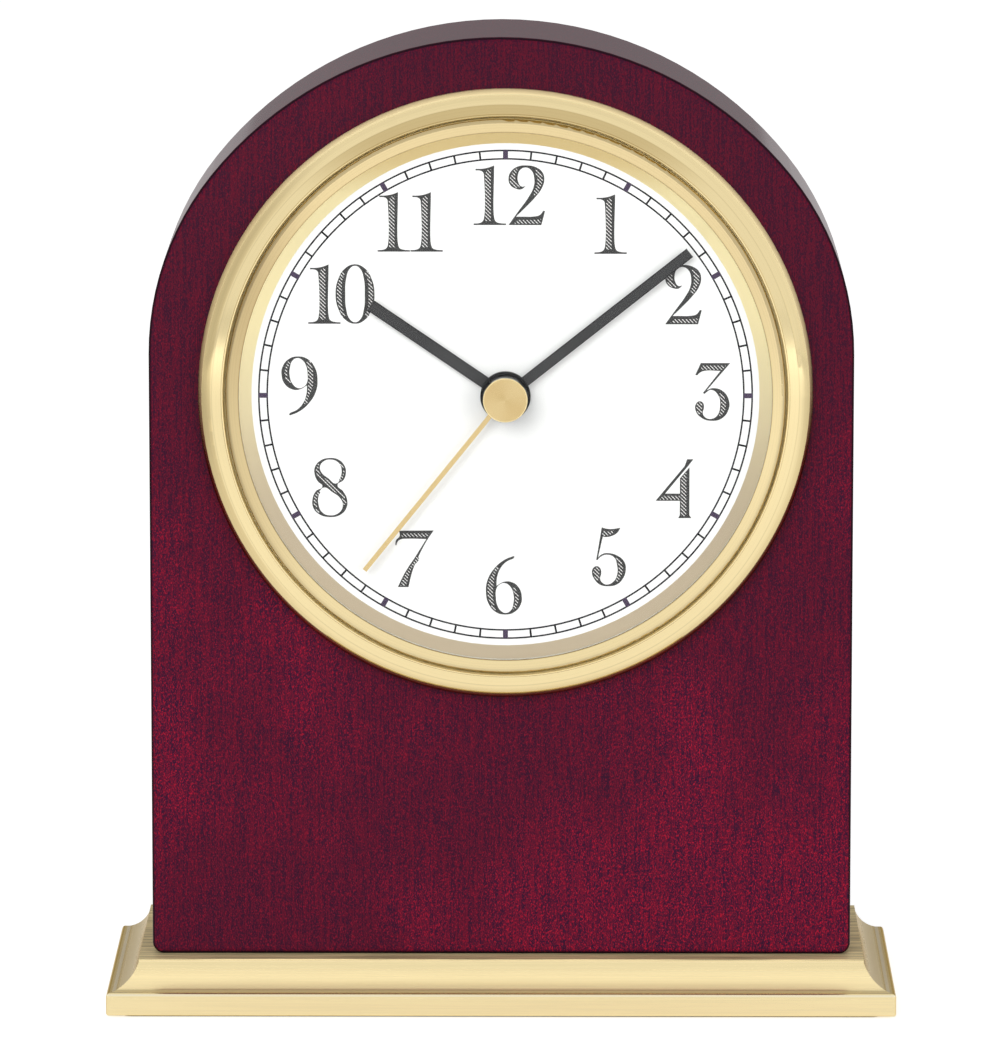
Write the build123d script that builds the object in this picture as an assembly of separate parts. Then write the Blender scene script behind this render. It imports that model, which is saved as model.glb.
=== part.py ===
from build123d import *
import math
import os

# A wooden desk clock, in millimetres. X is to the right as the dial is read, Y runs from the
# front to the back, Z is up. The origin is on the table, under the middle of the base.

# Base moulding
base_width = 152.2
base_depth = 60.8
base_height = 9.9
plinth_height = 4.4
plinth_round = 0.9
plinth_foot_round = 0.4
plinth_corner = 1.1
ledge_width = 1.1
cove_width = 5.0
cove_hollow = 0.9
top_edge_height = 0.6
base_rim = 5.0
base_top_thickness = 3.9

# Felt under the base
felt_thickness = 1.2
felt_proud = 0.5
felt_inset = 2.0
felt_corner = 3.0

# Wood case
case_width = 135.0
case_height = 178.2
case_thickness = 33.5
case_setback = 10.7
arch_flatness = 3.5
shoulder_inset = 12.5
case_corner = 2.2
case_arris = 0.8

# Base screws and washers
base_screw_spacing = 84.0
base_screw_radius = 2.0
base_screw_depth_in_wood = 20.0
base_screw_head_radius = 3.6
base_screw_head_height = 2.0
base_washer_radius = 4.6
base_washer_thickness = 0.8
base_boss_wall = 2.4
base_seat_thickness = 5.2
slot_width = 0.9
slot_depth_share = 0.5

# Fits
fit_gap = 0.05
running_gap = 0.08
loose_gap = 0.2
cut_overrun = 1.0

# Dial and its axis, which stands a little to the right of the case's middle
dial_height = 109.7
dial_x = 0.8
dial_radius = 51.3
dial_thickness = 0.8
dial_proud = 1.8

# Bezel rings
bezel_band_width = 4.9
bezel_edge = 1.0
bezel_slope_width = 2.7
bezel_crease_height = 3.9
bezel_bead_width = 0.45
bezel_height = 4.5
bezel_skirt_thickness = 1.2
bezel_skirt_depth = 2.6
groove_gap = 0.45
groove_depth = 2.7
lens_ring_wall = 1.95
lens_ring_height = 4.95
lens_ring_shoulder = 0.75
lens_ring_foot = 1.3
lens_ring_foot_thickness = 0.8
lens_ring_bead = 0.6
lens_ring_bead_length = 0.8
lens_lip_width = 0.6
lens_lip_thickness = 0.35

# Domed crystal, gasket and reflector ring
crystal_thickness = 1.2
crystal_rise = 5.4
gasket_thickness = 0.4
reflector_slope_width = 2.8

# Insert housing, grip band and rear cover
housing_front_thickness = 2.0
housing_wall = 1.5
housing_tail = 3.5
grip_thickness = 1.2
grip_width = 8.0
grip_start = 7.0
grip_rib_height = 0.4
grip_ribs = 3
cover_thickness = 2.2
cover_seat_width = 3.0
cover_leg_thickness = 1.2
cover_leg_length = 6.6
cover_leg_angle = 18.0
cover_legs = 3
cover_bar_length = 26.0
cover_bar_width = 4.0
cover_bar_height = 3.0
insert_clearance = 0.3

# Battery and its contacts
battery_radius = 7.0
battery_length = 49.5
battery_nub_radius = 2.6
battery_nub_length = 1.0
battery_clearance = 0.2
contact_thickness = 0.4
contact_width = 8.0
contact_spring_room = 1.9

# Movement shells
shell_wall = 1.2
shell_plate = 1.0
shell_corner = 2.0
front_shell_depth = 8.0
back_shell_depth = 8.0
battery_wall_extra = 4.0
post_radius = 2.6
post_inset = 4.2
shell_screw_radius = 0.9
shell_screw_head_radius = 1.9
shell_screw_head_height = 1.2
shell_screw_end_gap = 0.6
spigot_wall = 0.52
spigot_proud = 0.3
train_room = 3.2
coil_room = 0.8

# Hands and the tubes that carry them
hand_thickness = 0.3
hour_hand_lift = 0.8
hand_spacing = 0.4
second_hand_thickness = 0.2
hour_hand_length = 31.1
hour_hand_width = 2.3
minute_hand_margin = 6.6
minute_hand_width = 2.0
second_hand_margin = 8.3
second_hand_width = 0.9
hub_radius = 4.8
collet_wall = 0.7
hour_tube_radius = 2.5
minute_tube_radius = 1.6
second_arbor_radius = 0.5
cap_radius = 4.25
cap_height = 4.0
cap_round = 0.15
cap_socket_depth = 1.5
hour_hand_angle = 304.3
minute_hand_angle = 51.65
second_hand_angle = 218.8

# Gear teeth
pressure_angle = 25.0
addendum_share = 0.75
dedendum_share = 1.05
backlash_share = 0.16
wheel_thickness = 0.6
pinion_overlap = 0.2

# Motion work: minute pinion, motion wheel, hour wheel and setting gear
motion_module = 0.4
cannon_teeth = 12
motion_teeth = 36
motion_pinion_teeth = 10
hour_teeth = 40
setting_teeth = 18
motion_wheel_thickness = 0.8
motion_angle = 30.0
setting_angle = 10.0
hour_wheel_thickness = 1.0
hour_wheel_gap = 0.2
cannon_gap = 0.5
middle_plate_gap = 0.4
middle_plate_thickness = 0.8
knob_radius = 6.0
knob_thickness = 3.0
knob_gap = 0.2
knob_flutes = 24
knob_flute_radius = 0.5
setting_arbor_radius = 1.0

# Going train: rotor, intermediate, second, third and centre wheels
going_module = 0.25
rotor_module = 0.22
second_teeth = 60
second_pinion_teeth = 8
third_teeth = 60
third_pinion_teeth = 8
centre_teeth = 64
intermediate_teeth = 60
intermediate_pinion_teeth = 12
rotor_pinion_teeth = 10
third_angle = 160.0
intermediate_angle = 90.0
rotor_angle = 60.0
layer_gap = 0.7
pivot_radius = 0.5
pivot_depth = 0.5
centre_hub_radius = 1.5

# Stepping motor
magnet_radius = 2.4
magnet_length = 1.8
stator_thickness = 0.8
stator_gap = 0.5
stator_neck = 0.7
stator_half_length = 18.0
stator_arm_width = 4.0
coil_radius = 2.8
coil_length = 24.0
bobbin_flange = 1.0
bobbin_tube_wall = 0.5
core_width = 2.2
core_thickness = 0.8
coil_gap = 1.2
pillar_radius = 1.2
pillar_inset = 2.4

# Circuit board
board_width = 9.0
board_height = 20.0
board_thickness = 0.8
board_centre_z = 6.0
chip_size = 4.2
chip_height = 1.0
can_radius = 1.0
can_length = 6.0

# Heights above the table
metal_bottom = felt_proud
base_top = metal_bottom + base_height
dial_z = base_top + dial_height
case_top = base_top + case_height
wood_front = case_setback - base_depth / 2

# Depths behind the wood's front face, from the crystal back
dial_front = -dial_proud
dial_back = dial_front + dial_thickness
housing_back = dial_back + housing_front_thickness
crystal_edge_front = -(lens_ring_height - lens_lip_thickness)
crystal_edge_back = crystal_edge_front + crystal_thickness
gasket_back = crystal_edge_back + gasket_thickness
lens_ring_bore = dial_radius + fit_gap * 4
lens_ring_radius = lens_ring_bore + lens_ring_wall
lip_radius = lens_ring_bore - lens_lip_width
bezel_radius = lens_ring_radius + groove_gap + bezel_band_width
bezel_crease_radius = bezel_radius - bezel_slope_width
reflector_foot_radius = dial_radius - reflector_slope_width
minute_hand_length = dial_radius - minute_hand_margin
second_hand_length = dial_radius - second_hand_margin
hour_hand_back = dial_front - hour_hand_lift
hour_hand_front = hour_hand_back - hand_thickness
minute_hand_back = hour_hand_front - hand_spacing
minute_hand_front = minute_hand_back - hand_thickness
second_hand_back = minute_hand_front - hand_spacing
second_hand_front = second_hand_back - second_hand_thickness

# Centre distances and radii in the movement
motion_distance = motion_module * (cannon_teeth + motion_teeth) / 2
hour_module = 2 * motion_distance / (motion_pinion_teeth + hour_teeth)
setting_distance = motion_module * (motion_teeth + setting_teeth) / 2
third_distance = going_module * (second_pinion_teeth + third_teeth) / 2
centre_module = 2 * third_distance / (third_pinion_teeth + centre_teeth)
intermediate_distance = going_module * (second_teeth + intermediate_pinion_teeth) / 2
rotor_distance = rotor_module * (intermediate_teeth + rotor_pinion_teeth) / 2


def polar(distance, angle, start=(0, 0)):
    """Point seen from the front, at an angle counted anticlockwise from the right."""
    turn = math.radians(angle)
    return (start[0] + distance * math.cos(turn), start[1] + distance * math.sin(turn))


centre_at = (0, 0)
motion_at = polar(motion_distance, motion_angle)
setting_at = polar(setting_distance, setting_angle, motion_at)
third_at = polar(third_distance, third_angle)
intermediate_at = polar(intermediate_distance, intermediate_angle)
rotor_at = polar(rotor_distance, rotor_angle, intermediate_at)

# Layers of the movement, as depths behind the wood's front face
shell_front = housing_back
plate_back = shell_front + shell_plate
hour_wheel_front = plate_back + hour_wheel_gap
hour_wheel_back = hour_wheel_front + hour_wheel_thickness
cannon_front = hour_wheel_back + cannon_gap
motion_front = cannon_front + fit_gap
motion_back = motion_front + motion_wheel_thickness
cannon_back = motion_back + pinion_overlap
middle_front = cannon_back + middle_plate_gap
middle_back = middle_front + middle_plate_thickness
centre_front = middle_back + layer_gap
centre_back = centre_front + wheel_thickness
third_front = centre_back + layer_gap
third_back = third_front + wheel_thickness
second_front = third_back + layer_gap
second_back = second_front + wheel_thickness
intermediate_front = second_back + layer_gap
intermediate_back = intermediate_front + wheel_thickness
magnet_front = intermediate_back + layer_gap
magnet_back = magnet_front + magnet_length
stator_front = magnet_front + (magnet_length - stator_thickness) / 2
stator_back = stator_front + stator_thickness
shell_split = shell_front + front_shell_depth
shell_back = shell_split + back_shell_depth
back_plate_front = shell_back - shell_plate
housing_end = shell_back + housing_tail

# Outline of the movement, seen from the front, about the hands' axis
hour_tip_radius = hour_module * (hour_teeth / 2 + addendum_share)
partition_top = -(hour_tip_radius + train_room)
bay_height = 2 * (battery_radius + battery_clearance)
bay_top = partition_top - shell_wall
bay_bottom = bay_top - bay_height
shell_bottom = bay_bottom - shell_wall
battery_z = bay_top - battery_radius - battery_clearance
bay_length = battery_length + battery_nub_length + 2 * contact_thickness + contact_spring_room
shell_half_width = bay_length / 2 + shell_wall
rotor_hole = magnet_radius + stator_gap
stator_half_height = rotor_hole + stator_neck
coil_z = rotor_at[1] + stator_half_height + coil_gap + coil_radius
shell_top = coil_z + coil_radius + coil_room + shell_wall
shell_half_height = max(shell_top, -shell_bottom)
shell_corner_reach = math.hypot(shell_half_width, shell_half_height)
housing_bore = shell_corner_reach - shell_corner * (math.sqrt(2) - 1) + insert_clearance
housing_radius = housing_bore + housing_wall
case_bore = housing_radius + grip_thickness + 2 * fit_gap
cover_seat = case_bore + cover_seat_width
counterbore = lens_ring_radius + bezel_skirt_thickness + fit_gap + insert_clearance
lens_ring_back = bezel_skirt_depth + lens_ring_foot_thickness
counterbore_depth = lens_ring_back + insert_clearance
post_places = [
    (side * (shell_half_width - post_inset), height)
    for side in (-1, 1)
    for height in (shell_top - post_inset, partition_top + post_radius + loose_gap)
]


def slab(sketch, front, back, at=(0, 0)):
    """Flat piece between two depths, from a sketch as seen from the front of the clock."""
    origin = (dial_x + at[0], wood_front + back, dial_z + at[1])
    plane = Plane(origin=origin, x_dir=(1, 0, 0), z_dir=(0, -1, 0))
    return extrude(plane * sketch, amount=back - front)


def rod(radius, front, back, at=(0, 0)):
    return slab(Circle(radius), front, back, at)


def turned(edges, at=(0, 0)):
    """Turned piece, from edges drawn as radius and depth round an axis along Y."""
    place = Pos(dial_x + at[0], wood_front, dial_z + at[1])
    return place * revolve(make_face(edges), Axis.Y)


def ring(inner, outer, front, back, at=(0, 0)):
    return slab(Circle(outer) - Circle(inner), front, back, at)


def centred_box(width, depth, height, x, y, z):
    """Box by its middle in X and Y and its lowest point in Z."""
    return Pos(x, y, z + height / 2) * Box(width, depth, height)


def moulding_section(half_width):
    """Section of the base: plinth with rounded edges, ledge, cove and flat top."""
    bottom = metal_bottom
    foot_slack = plinth_foot_round * (1 - math.sqrt(0.5))
    ledge = bottom + plinth_height
    top_half = half_width - ledge_width - cove_width
    cove_top = base_top - top_edge_height
    sides = []
    for side in (-1, 1):
        outer = side * half_width
        foot_start = (outer - side * plinth_foot_round, bottom)
        foot_end = (outer, bottom + plinth_foot_round)
        foot_middle = (outer - side * foot_slack, bottom + foot_slack)
        round_start = (outer, ledge - plinth_round)
        round_end = (outer - side * plinth_round, ledge)
        round_slack = plinth_round * (1 - math.sqrt(0.5))
        round_middle = (outer - side * round_slack, ledge - round_slack)
        cove_start = (outer - side * ledge_width, ledge)
        cove_end = (side * top_half, cove_top)
        chord = math.hypot(cove_width, cove_top - ledge)
        cove_middle = (
            (cove_start[0] + cove_end[0]) / 2 - side * cove_hollow * (cove_top - ledge) / chord,
            (cove_start[1] + cove_end[1]) / 2 - cove_hollow * cove_width / chord,
        )
        sides += [
            ThreePointArc(foot_start, foot_middle, foot_end),
            Line(foot_end, round_start),
            ThreePointArc(round_start, round_middle, round_end),
            Line(round_end, cove_start),
            ThreePointArc(cove_start, cove_middle, cove_end),
            Line(cove_end, (side * top_half, base_top)),
        ]
    foot_half = half_width - plinth_foot_round
    floor = Line((-foot_half, bottom), (foot_half, bottom))
    roof = Line((-top_half, base_top), (top_half, base_top))
    return make_face([floor, roof] + sides)


def base_screw_places():
    middle = wood_front + case_thickness / 2
    return [(side * base_screw_spacing / 2, middle) for side in (-1, 1)]


def base_plinth():
    """Moulded metal base: two mitred sections, hollow below, with a boss for each screw."""
    along = extrude(Plane.XZ * moulding_section(base_width / 2), amount=base_depth / 2, both=True)
    across = extrude(Plane.YZ * moulding_section(base_depth / 2), amount=base_width / 2, both=True)
    footprint = RectangleRounded(base_width, base_depth, plinth_corner)
    body = along & across & extrude(footprint, amount=base_top)
    felt_room = felt_sheet(fit_gap)
    hollow_height = base_height - base_top_thickness
    hollow = centred_box(
        base_width - 2 * (felt_inset + base_rim),
        base_depth - 2 * (felt_inset + base_rim),
        hollow_height,
        0,
        0,
        metal_bottom,
    )
    seat_radius = base_washer_radius + loose_gap
    seat_bottom = base_top - base_seat_thickness
    for x, y in base_screw_places():
        boss_height = hollow_height + cut_overrun
        boss = Pos(x, y, metal_bottom + boss_height / 2) * Cylinder(seat_radius + base_boss_wall, boss_height)
        hollow -= boss
    body = body - hollow - felt_room
    for x, y in base_screw_places():
        seat = Pos(x, y, seat_bottom / 2) * Cylinder(seat_radius, seat_bottom)
        shank = Pos(x, y, base_top / 2) * Cylinder(base_screw_radius + loose_gap, base_top + cut_overrun)
        body = body - seat - shank
    return body


def felt_sheet(extra):
    sheet = RectangleRounded(
        base_width - 2 * felt_inset + 2 * extra,
        base_depth - 2 * felt_inset + 2 * extra,
        felt_corner,
    )
    return extrude(sheet, amount=felt_thickness)


def base_screws():
    """Two slotted screws, up through the base into the wood."""
    screws = []
    washer_bottom = base_top - base_seat_thickness - base_washer_thickness
    head_bottom = washer_bottom - base_screw_head_height
    length = base_top + base_screw_depth_in_wood - washer_bottom
    for x, y in base_screw_places():
        shank = Pos(x, y, washer_bottom + length / 2) * Cylinder(base_screw_radius, length)
        head = Pos(x, y, head_bottom + base_screw_head_height / 2) * Cylinder(
            base_screw_head_radius, base_screw_head_height
        )
        slot_depth = base_screw_head_height * slot_depth_share
        slot = centred_box(
            2 * base_screw_head_radius + cut_overrun, slot_width, slot_depth, x, y, head_bottom
        )
        screws.append(head + shank - slot)
    return screws


def base_washers():
    washers = []
    bottom = base_top - base_seat_thickness - base_washer_thickness
    for x, y in base_screw_places():
        disc = Cylinder(base_washer_radius, base_washer_thickness)
        hole = Cylinder(base_screw_radius + fit_gap, base_washer_thickness + cut_overrun)
        washers.append(Pos(x, y, bottom + base_washer_thickness / 2) * (disc - hole))
    return washers


def arch_outline():
    """Front outline of the case: a three-centred arch on straight sides with small lower corners."""
    half = case_width / 2
    top_radius = half + arch_flatness
    shoulder_radius = half - shoulder_inset
    top_centre = case_top - top_radius
    reach = top_radius - shoulder_radius
    shoulder_z = top_centre + math.sqrt(reach**2 - shoulder_inset**2)
    join_angle = math.atan2(shoulder_z - top_centre, shoulder_inset)
    half_angle = join_angle / 2
    edges = []
    for side in (-1, 1):
        join = (side * top_radius * math.cos(join_angle), top_centre + top_radius * math.sin(join_angle))
        spring = (side * half, shoulder_z)
        middle = (
            side * (shoulder_inset + shoulder_radius * math.cos(half_angle)),
            shoulder_z + shoulder_radius * math.sin(half_angle),
        )
        edges.append(ThreePointArc(spring, middle, join))
        corner_top = (side * half, base_top + case_corner)
        corner_bottom = (side * (half - case_corner), base_top)
        slack = case_corner * (1 - math.sqrt(0.5))
        edges.append(Line(spring, corner_top))
        edges.append(
            ThreePointArc(corner_top, (side * (half - slack), base_top + slack), corner_bottom)
        )
    left = (-top_radius * math.cos(join_angle), top_centre + top_radius * math.sin(join_angle))
    right = (-left[0], left[1])
    edges.append(ThreePointArc(left, (0, case_top), right))
    edges.append(Line((-half + case_corner, base_top), (half - case_corner, base_top)))
    return make_face(edges)


def wood_case():
    """Arched block with eased edges, bored for the clock insert and recessed for the rear cover."""
    plane = Plane(origin=(0, wood_front + case_thickness, 0), x_dir=(1, 0, 0), z_dir=(0, -1, 0))
    block = extrude(plane * arch_outline(), amount=case_thickness)
    front_face = block.faces().sort_by(Axis.Y)[0]
    back_face = block.faces().sort_by(Axis.Y)[-1]
    block = fillet(front_face.edges() + back_face.edges(), case_arris)
    block -= rod(case_bore, -cut_overrun, case_thickness + cut_overrun)
    block -= rod(counterbore, -cut_overrun, counterbore_depth)
    cover_floor = case_thickness - cover_thickness - loose_gap
    block -= rod(cover_seat, cover_floor, case_thickness + cut_overrun)
    for x, y in base_screw_places():
        depth = base_screw_depth_in_wood + loose_gap
        pilot = Pos(x, y, base_top + depth / 2) * Cylinder(base_screw_radius + fit_gap, depth)
        block -= pilot
    return block


def bezel_outer_ring():
    """Polished ring on the wood's face, with a skirt that enters the counterbore."""
    inner = lens_ring_radius + fit_gap
    groove = lens_ring_radius + groove_gap
    bead = groove + bezel_bead_width
    rim = (bezel_radius, -bezel_edge)
    crease = (bezel_crease_radius, -bezel_crease_height)
    chord = math.hypot(rim[0] - crease[0], rim[1] - crease[1])
    bulge = chord / 6
    middle = (
        (rim[0] + crease[0]) / 2 + bulge * (bezel_crease_height - bezel_edge) / chord,
        (rim[1] + crease[1]) / 2 - bulge * (rim[0] - crease[0]) / chord,
    )
    bead_foot = (bead, -bezel_height + bezel_bead_width / 2)
    bead_top = ((bead + groove) / 2, -bezel_height)
    bead_end = (groove, -bezel_height + bezel_bead_width / 2)
    skirt = inner + bezel_skirt_thickness
    edges = [
        Line((bezel_radius, 0), rim),
        ThreePointArc(rim, middle, crease),
        Line(crease, bead_foot),
        ThreePointArc(bead_foot, bead_top, bead_end),
        Polyline(
            bead_end,
            (groove, -bezel_height + groove_depth),
            (inner, -bezel_height + groove_depth),
            (inner, bezel_skirt_depth),
            (skirt, bezel_skirt_depth),
            (skirt, 0),
            (bezel_radius, 0),
        ),
    ]
    return turned(edges)


def bezel_inner_ring():
    """Ring that carries the crystal: rounded front, lip, snap bead and a foot behind the skirt."""
    shoulder = (lens_ring_radius, -(lens_ring_height - lens_ring_shoulder))
    crest = (lens_ring_radius - lens_ring_shoulder, -lens_ring_height)
    slack = lens_ring_shoulder * (1 - math.sqrt(0.5))
    middle = (lens_ring_radius - slack, -(lens_ring_height - slack))
    foot = lens_ring_radius + lens_ring_foot
    bead = lens_ring_bore - lens_ring_bead
    bead_back = housing_back + lens_ring_bead_length
    edges = [
        ThreePointArc(shoulder, middle, crest),
        Polyline(
            crest,
            (lip_radius, -lens_ring_height),
            (lip_radius, crystal_edge_front),
            (lens_ring_bore, crystal_edge_front),
            (lens_ring_bore, housing_back),
            (bead, housing_back),
            (bead, bead_back - lens_ring_bead / 2),
            (lens_ring_bore, bead_back),
            (lens_ring_bore, lens_ring_back),
            (foot, lens_ring_back),
            (foot, bezel_skirt_depth),
            (lens_ring_radius, bezel_skirt_depth),
            shoulder,
        ),
    ]
    return turned(edges)


def dome_edge(edge_radius, edge_depth, rise):
    """Arc from the axis to a radius, bulging to the front by the rise."""
    apex = edge_depth - rise
    sphere = (edge_radius**2 + rise**2) / (2 * rise)
    half = edge_radius / 2
    sag = sphere - math.sqrt(sphere**2 - half**2)
    return ThreePointArc((0, apex), (half, apex + sag), (edge_radius, edge_depth))


def crystal():
    """Domed glass of even thickness, with a flat edge that sits under the ring's lip."""
    radius = lens_ring_bore - fit_gap
    dome_radius = lip_radius - fit_gap
    edges = [
        dome_edge(dome_radius, crystal_edge_front, crystal_rise),
        Polyline(
            (dome_radius, crystal_edge_front),
            (radius, crystal_edge_front),
            (radius, crystal_edge_back),
            (dome_radius, crystal_edge_back),
        ),
        dome_edge(dome_radius, crystal_edge_back, crystal_rise),
        Line((0, crystal_edge_back - crystal_rise), (0, crystal_edge_front - crystal_rise)),
    ]
    return turned(edges)


def crystal_gasket():
    return ring(lip_radius, lens_ring_bore - fit_gap, crystal_edge_back, gasket_back)


def reflector_ring():
    """Polished slope between the crystal and the dial, which presses the gasket."""
    outer = lens_ring_bore - fit_gap
    corners = [
        (lip_radius, gasket_back),
        (outer, gasket_back),
        (outer, dial_front),
        (reflector_foot_radius, dial_front),
        (lip_radius, gasket_back),
    ]
    return turned([Polyline(*corners)])


def spigot_radius():
    return hour_tube_radius + running_gap + spigot_wall


def dial_plate():
    hole = spigot_radius() + fit_gap
    return ring(hole, dial_radius, dial_front, dial_back)


def insert_housing():
    """Cup behind the dial: a front wall that the movement screws to, and an open barrel."""
    front = rod(dial_radius, dial_back, housing_back)
    barrel = ring(housing_bore, housing_radius, housing_back, housing_end)
    body = front + barrel
    body -= rod(spigot_radius() + fit_gap, dial_back - cut_overrun, housing_back + cut_overrun)
    for place in post_places:
        body -= rod(shell_screw_radius + fit_gap, dial_back + shell_screw_end_gap, housing_back, place)
    return body


def grip_band():
    """Ribbed rubber band that holds the housing in the bore of the case."""
    inner = housing_radius + fit_gap
    crest = housing_radius + grip_thickness + fit_gap
    root = crest - grip_rib_height
    step = grip_width / (2 * grip_ribs)
    points = [(inner, grip_start)]
    for rib in range(grip_ribs):
        rib_start = grip_start + 2 * rib * step
        points += [(root, rib_start), (crest, rib_start + step), (crest, rib_start + 3 * step / 2)]
    points += [(root, grip_start + grip_width), (inner, grip_start + grip_width), (inner, grip_start)]
    return turned([Polyline(*points)])


def rear_cover():
    """Pull-off disc in the back of the case, with spring legs and a finger bar."""
    back = case_thickness - loose_gap
    front = back - cover_thickness
    body = rod(cover_seat - insert_clearance, front, back)
    leg_outer = case_bore - loose_gap
    leg_band = ring(leg_outer - cover_leg_thickness, leg_outer, front - cover_leg_length, front)
    reach = 2 * leg_outer
    for leg in range(cover_legs):
        angle = 90 + leg * 360 / cover_legs
        one_side = polar(reach, angle - cover_leg_angle / 2)
        other_side = polar(reach, angle + cover_leg_angle / 2)
        wedge = make_face(Polyline((0, 0), one_side, other_side, (0, 0)))
        body += leg_band & slab(wedge, front - cover_leg_length, front)
    bar = RectangleRounded(cover_bar_length, cover_bar_width, cover_bar_width / 3)
    body += slab(bar, back, back + cover_bar_height)
    return body


def gear_face(teeth, module, phase):
    """Involute gear outline with radial roots; the phase is the angle of one tooth's middle."""
    pitch = teeth * module / 2
    base = pitch * math.cos(math.radians(pressure_angle))
    root = pitch - dedendum_share * module
    tip = pitch + addendum_share * module

    def involute(angle):
        return math.tan(angle) - angle

    half_at_pitch = math.pi / (2 * teeth) * (1 - backlash_share)
    start = half_at_pitch + involute(math.radians(pressure_angle))
    flank = []
    for radius in (root, max(base, root), pitch, tip):
        if not flank or radius > flank[-1][0]:
            opening = start - involute(math.acos(min(1, base / max(base, radius))))
            flank.append((radius, opening))
    points = []
    for tooth in range(teeth):
        middle = math.radians(phase) + 2 * math.pi * tooth / teeth
        for radius, opening in flank:
            points.append((radius * math.cos(middle - opening), radius * math.sin(middle - opening)))
        for radius, opening in reversed(flank):
            points.append((radius * math.cos(middle + opening), radius * math.sin(middle + opening)))
    points.append(points[0])
    return make_face(Polyline(*points))


def meshing_phase(teeth, phase, at, next_teeth, next_at):
    """Phase of the next gear, so that its gap faces this gear's tooth on the line of centres."""
    line = math.degrees(math.atan2(next_at[1] - at[1], next_at[0] - at[0]))
    offset = (line - phase) * teeth / 360
    return line + 180 - (0.5 - offset) * 360 / next_teeth


def hand_face(length, width, angle):
    """Straight blade from the axis to its square end, at a clock angle."""
    blade = Pos(0, length / 2) * Rectangle(width, length)
    return Rot(0, 0, -angle) * blade


def hour_hand():
    blade = hand_face(hour_hand_length, hour_hand_width, hour_hand_angle) + Circle(hub_radius)
    hand = slab(blade, hour_hand_front, hour_hand_back)
    hand += rod(hour_tube_radius + collet_wall, hour_hand_back, hour_hand_back + hand_thickness)
    return hand - rod(hour_tube_radius + fit_gap / 2, hour_hand_front - cut_overrun, dial_front)


def minute_hand():
    blade = hand_face(minute_hand_length, minute_hand_width, minute_hand_angle) + Circle(hub_radius)
    hand = slab(blade, minute_hand_front, minute_hand_back)
    hand += rod(hub_radius - collet_wall / 2, minute_hand_front - hand_spacing / 2, minute_hand_front)
    return hand - rod(minute_tube_radius + fit_gap / 2, minute_hand_front - cut_overrun, dial_front)


def second_hand():
    blade = hand_face(second_hand_length, second_hand_width, second_hand_angle)
    hub = Circle(second_arbor_radius + 2 * collet_wall)
    hand = slab(blade + hub, second_hand_front, second_hand_back)
    return hand - rod(second_arbor_radius + fit_gap / 2, second_hand_front - cut_overrun, dial_front)


def second_hand_cap():
    """Brass disc pressed on the end of the second arbor, over the second hand."""
    cap = rod(cap_radius, second_hand_front - cap_height, second_hand_front)
    rim = cap.edges().filter_by(GeomType.CIRCLE).sort_by(Axis.Y)[0]
    cap = fillet(rim, cap_round)
    return cap - rod(second_arbor_radius + fit_gap / 2, second_hand_front - cap_socket_depth, dial_front)


def hour_wheel(phase):
    """Hour wheel with the tube that carries the hour hand."""
    wheel = slab(gear_face(hour_teeth, hour_module, phase), hour_wheel_front, hour_wheel_back)
    tube = rod(hour_tube_radius, hour_hand_front, hour_wheel_back)
    bore = rod(minute_tube_radius + running_gap, hour_hand_front - cut_overrun, hour_wheel_back + cut_overrun)
    return wheel + tube - bore


def cannon_pinion(phase):
    """Minute pinion with the tube that carries the minute hand."""
    pinion = slab(gear_face(cannon_teeth, motion_module, phase), cannon_front, cannon_back)
    tube = rod(minute_tube_radius, minute_hand_front, cannon_back)
    bore = rod(second_arbor_radius + running_gap, minute_hand_front - cut_overrun, cannon_back + cut_overrun)
    return pinion + tube - bore


def motion_wheel(phase, pinion_phase):
    """Wheel and pinion that step the minute pinion down to the hour wheel."""
    wheel = slab(gear_face(motion_teeth, motion_module, phase), motion_front, motion_back, motion_at)
    pinion_face = gear_face(motion_pinion_teeth, hour_module, pinion_phase)
    pinion = slab(pinion_face, hour_wheel_front, motion_front, motion_at)
    arbor = rod(pivot_radius, plate_back - pivot_depth, middle_front + pivot_depth, motion_at)
    return wheel + pinion + arbor


def setting_arbor(phase):
    """Arbor from the back of the movement to the motion wheel, with its setting gear."""
    gear = slab(gear_face(setting_teeth, motion_module, phase), motion_front, motion_back, setting_at)
    knob_seat = shell_back + knob_gap + knob_thickness / 2
    arbor = rod(setting_arbor_radius, hour_wheel_front, knob_seat, setting_at)
    pivot = rod(pivot_radius, plate_back - pivot_depth, hour_wheel_front, setting_at)
    return gear + arbor + pivot


def setting_knob():
    """Fluted knob pressed on the setting arbor, turned with a finger to set the time."""
    front = shell_back + knob_gap
    disc = Circle(knob_radius)
    for flute in range(knob_flutes):
        x, y = polar(knob_radius, flute * 360 / knob_flutes)
        disc -= Pos(x, y) * Circle(knob_flute_radius)
    knob = slab(disc, front, front + knob_thickness, setting_at)
    return knob - rod(setting_arbor_radius + fit_gap / 2, front, front + knob_thickness / 2, setting_at)


def second_wheel(phase, pinion_phase):
    """Second wheel, its pinion and the long arbor that carries the second hand."""
    wheel = slab(gear_face(second_teeth, going_module, phase), second_front, second_back)
    pinion_face = gear_face(second_pinion_teeth, going_module, pinion_phase)
    pinion = slab(pinion_face, third_front - pinion_overlap, second_front)
    tip = second_hand_front - cap_socket_depth + loose_gap
    arbor = rod(second_arbor_radius, tip, back_plate_front + pivot_depth)
    return wheel + pinion + arbor


def wheel_on_arbor(wheel, wheel_span, pinion, pinion_span, at):
    """Wheel, pinion and arbor in one piece, pivoted in the middle plate and the back shell."""
    body = slab(gear_face(*wheel), wheel_span[0], wheel_span[1], at)
    body += slab(gear_face(*pinion), pinion_span[0], pinion_span[1], at)
    return body + rod(pivot_radius, middle_back - pivot_depth, back_plate_front + pivot_depth, at)


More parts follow.
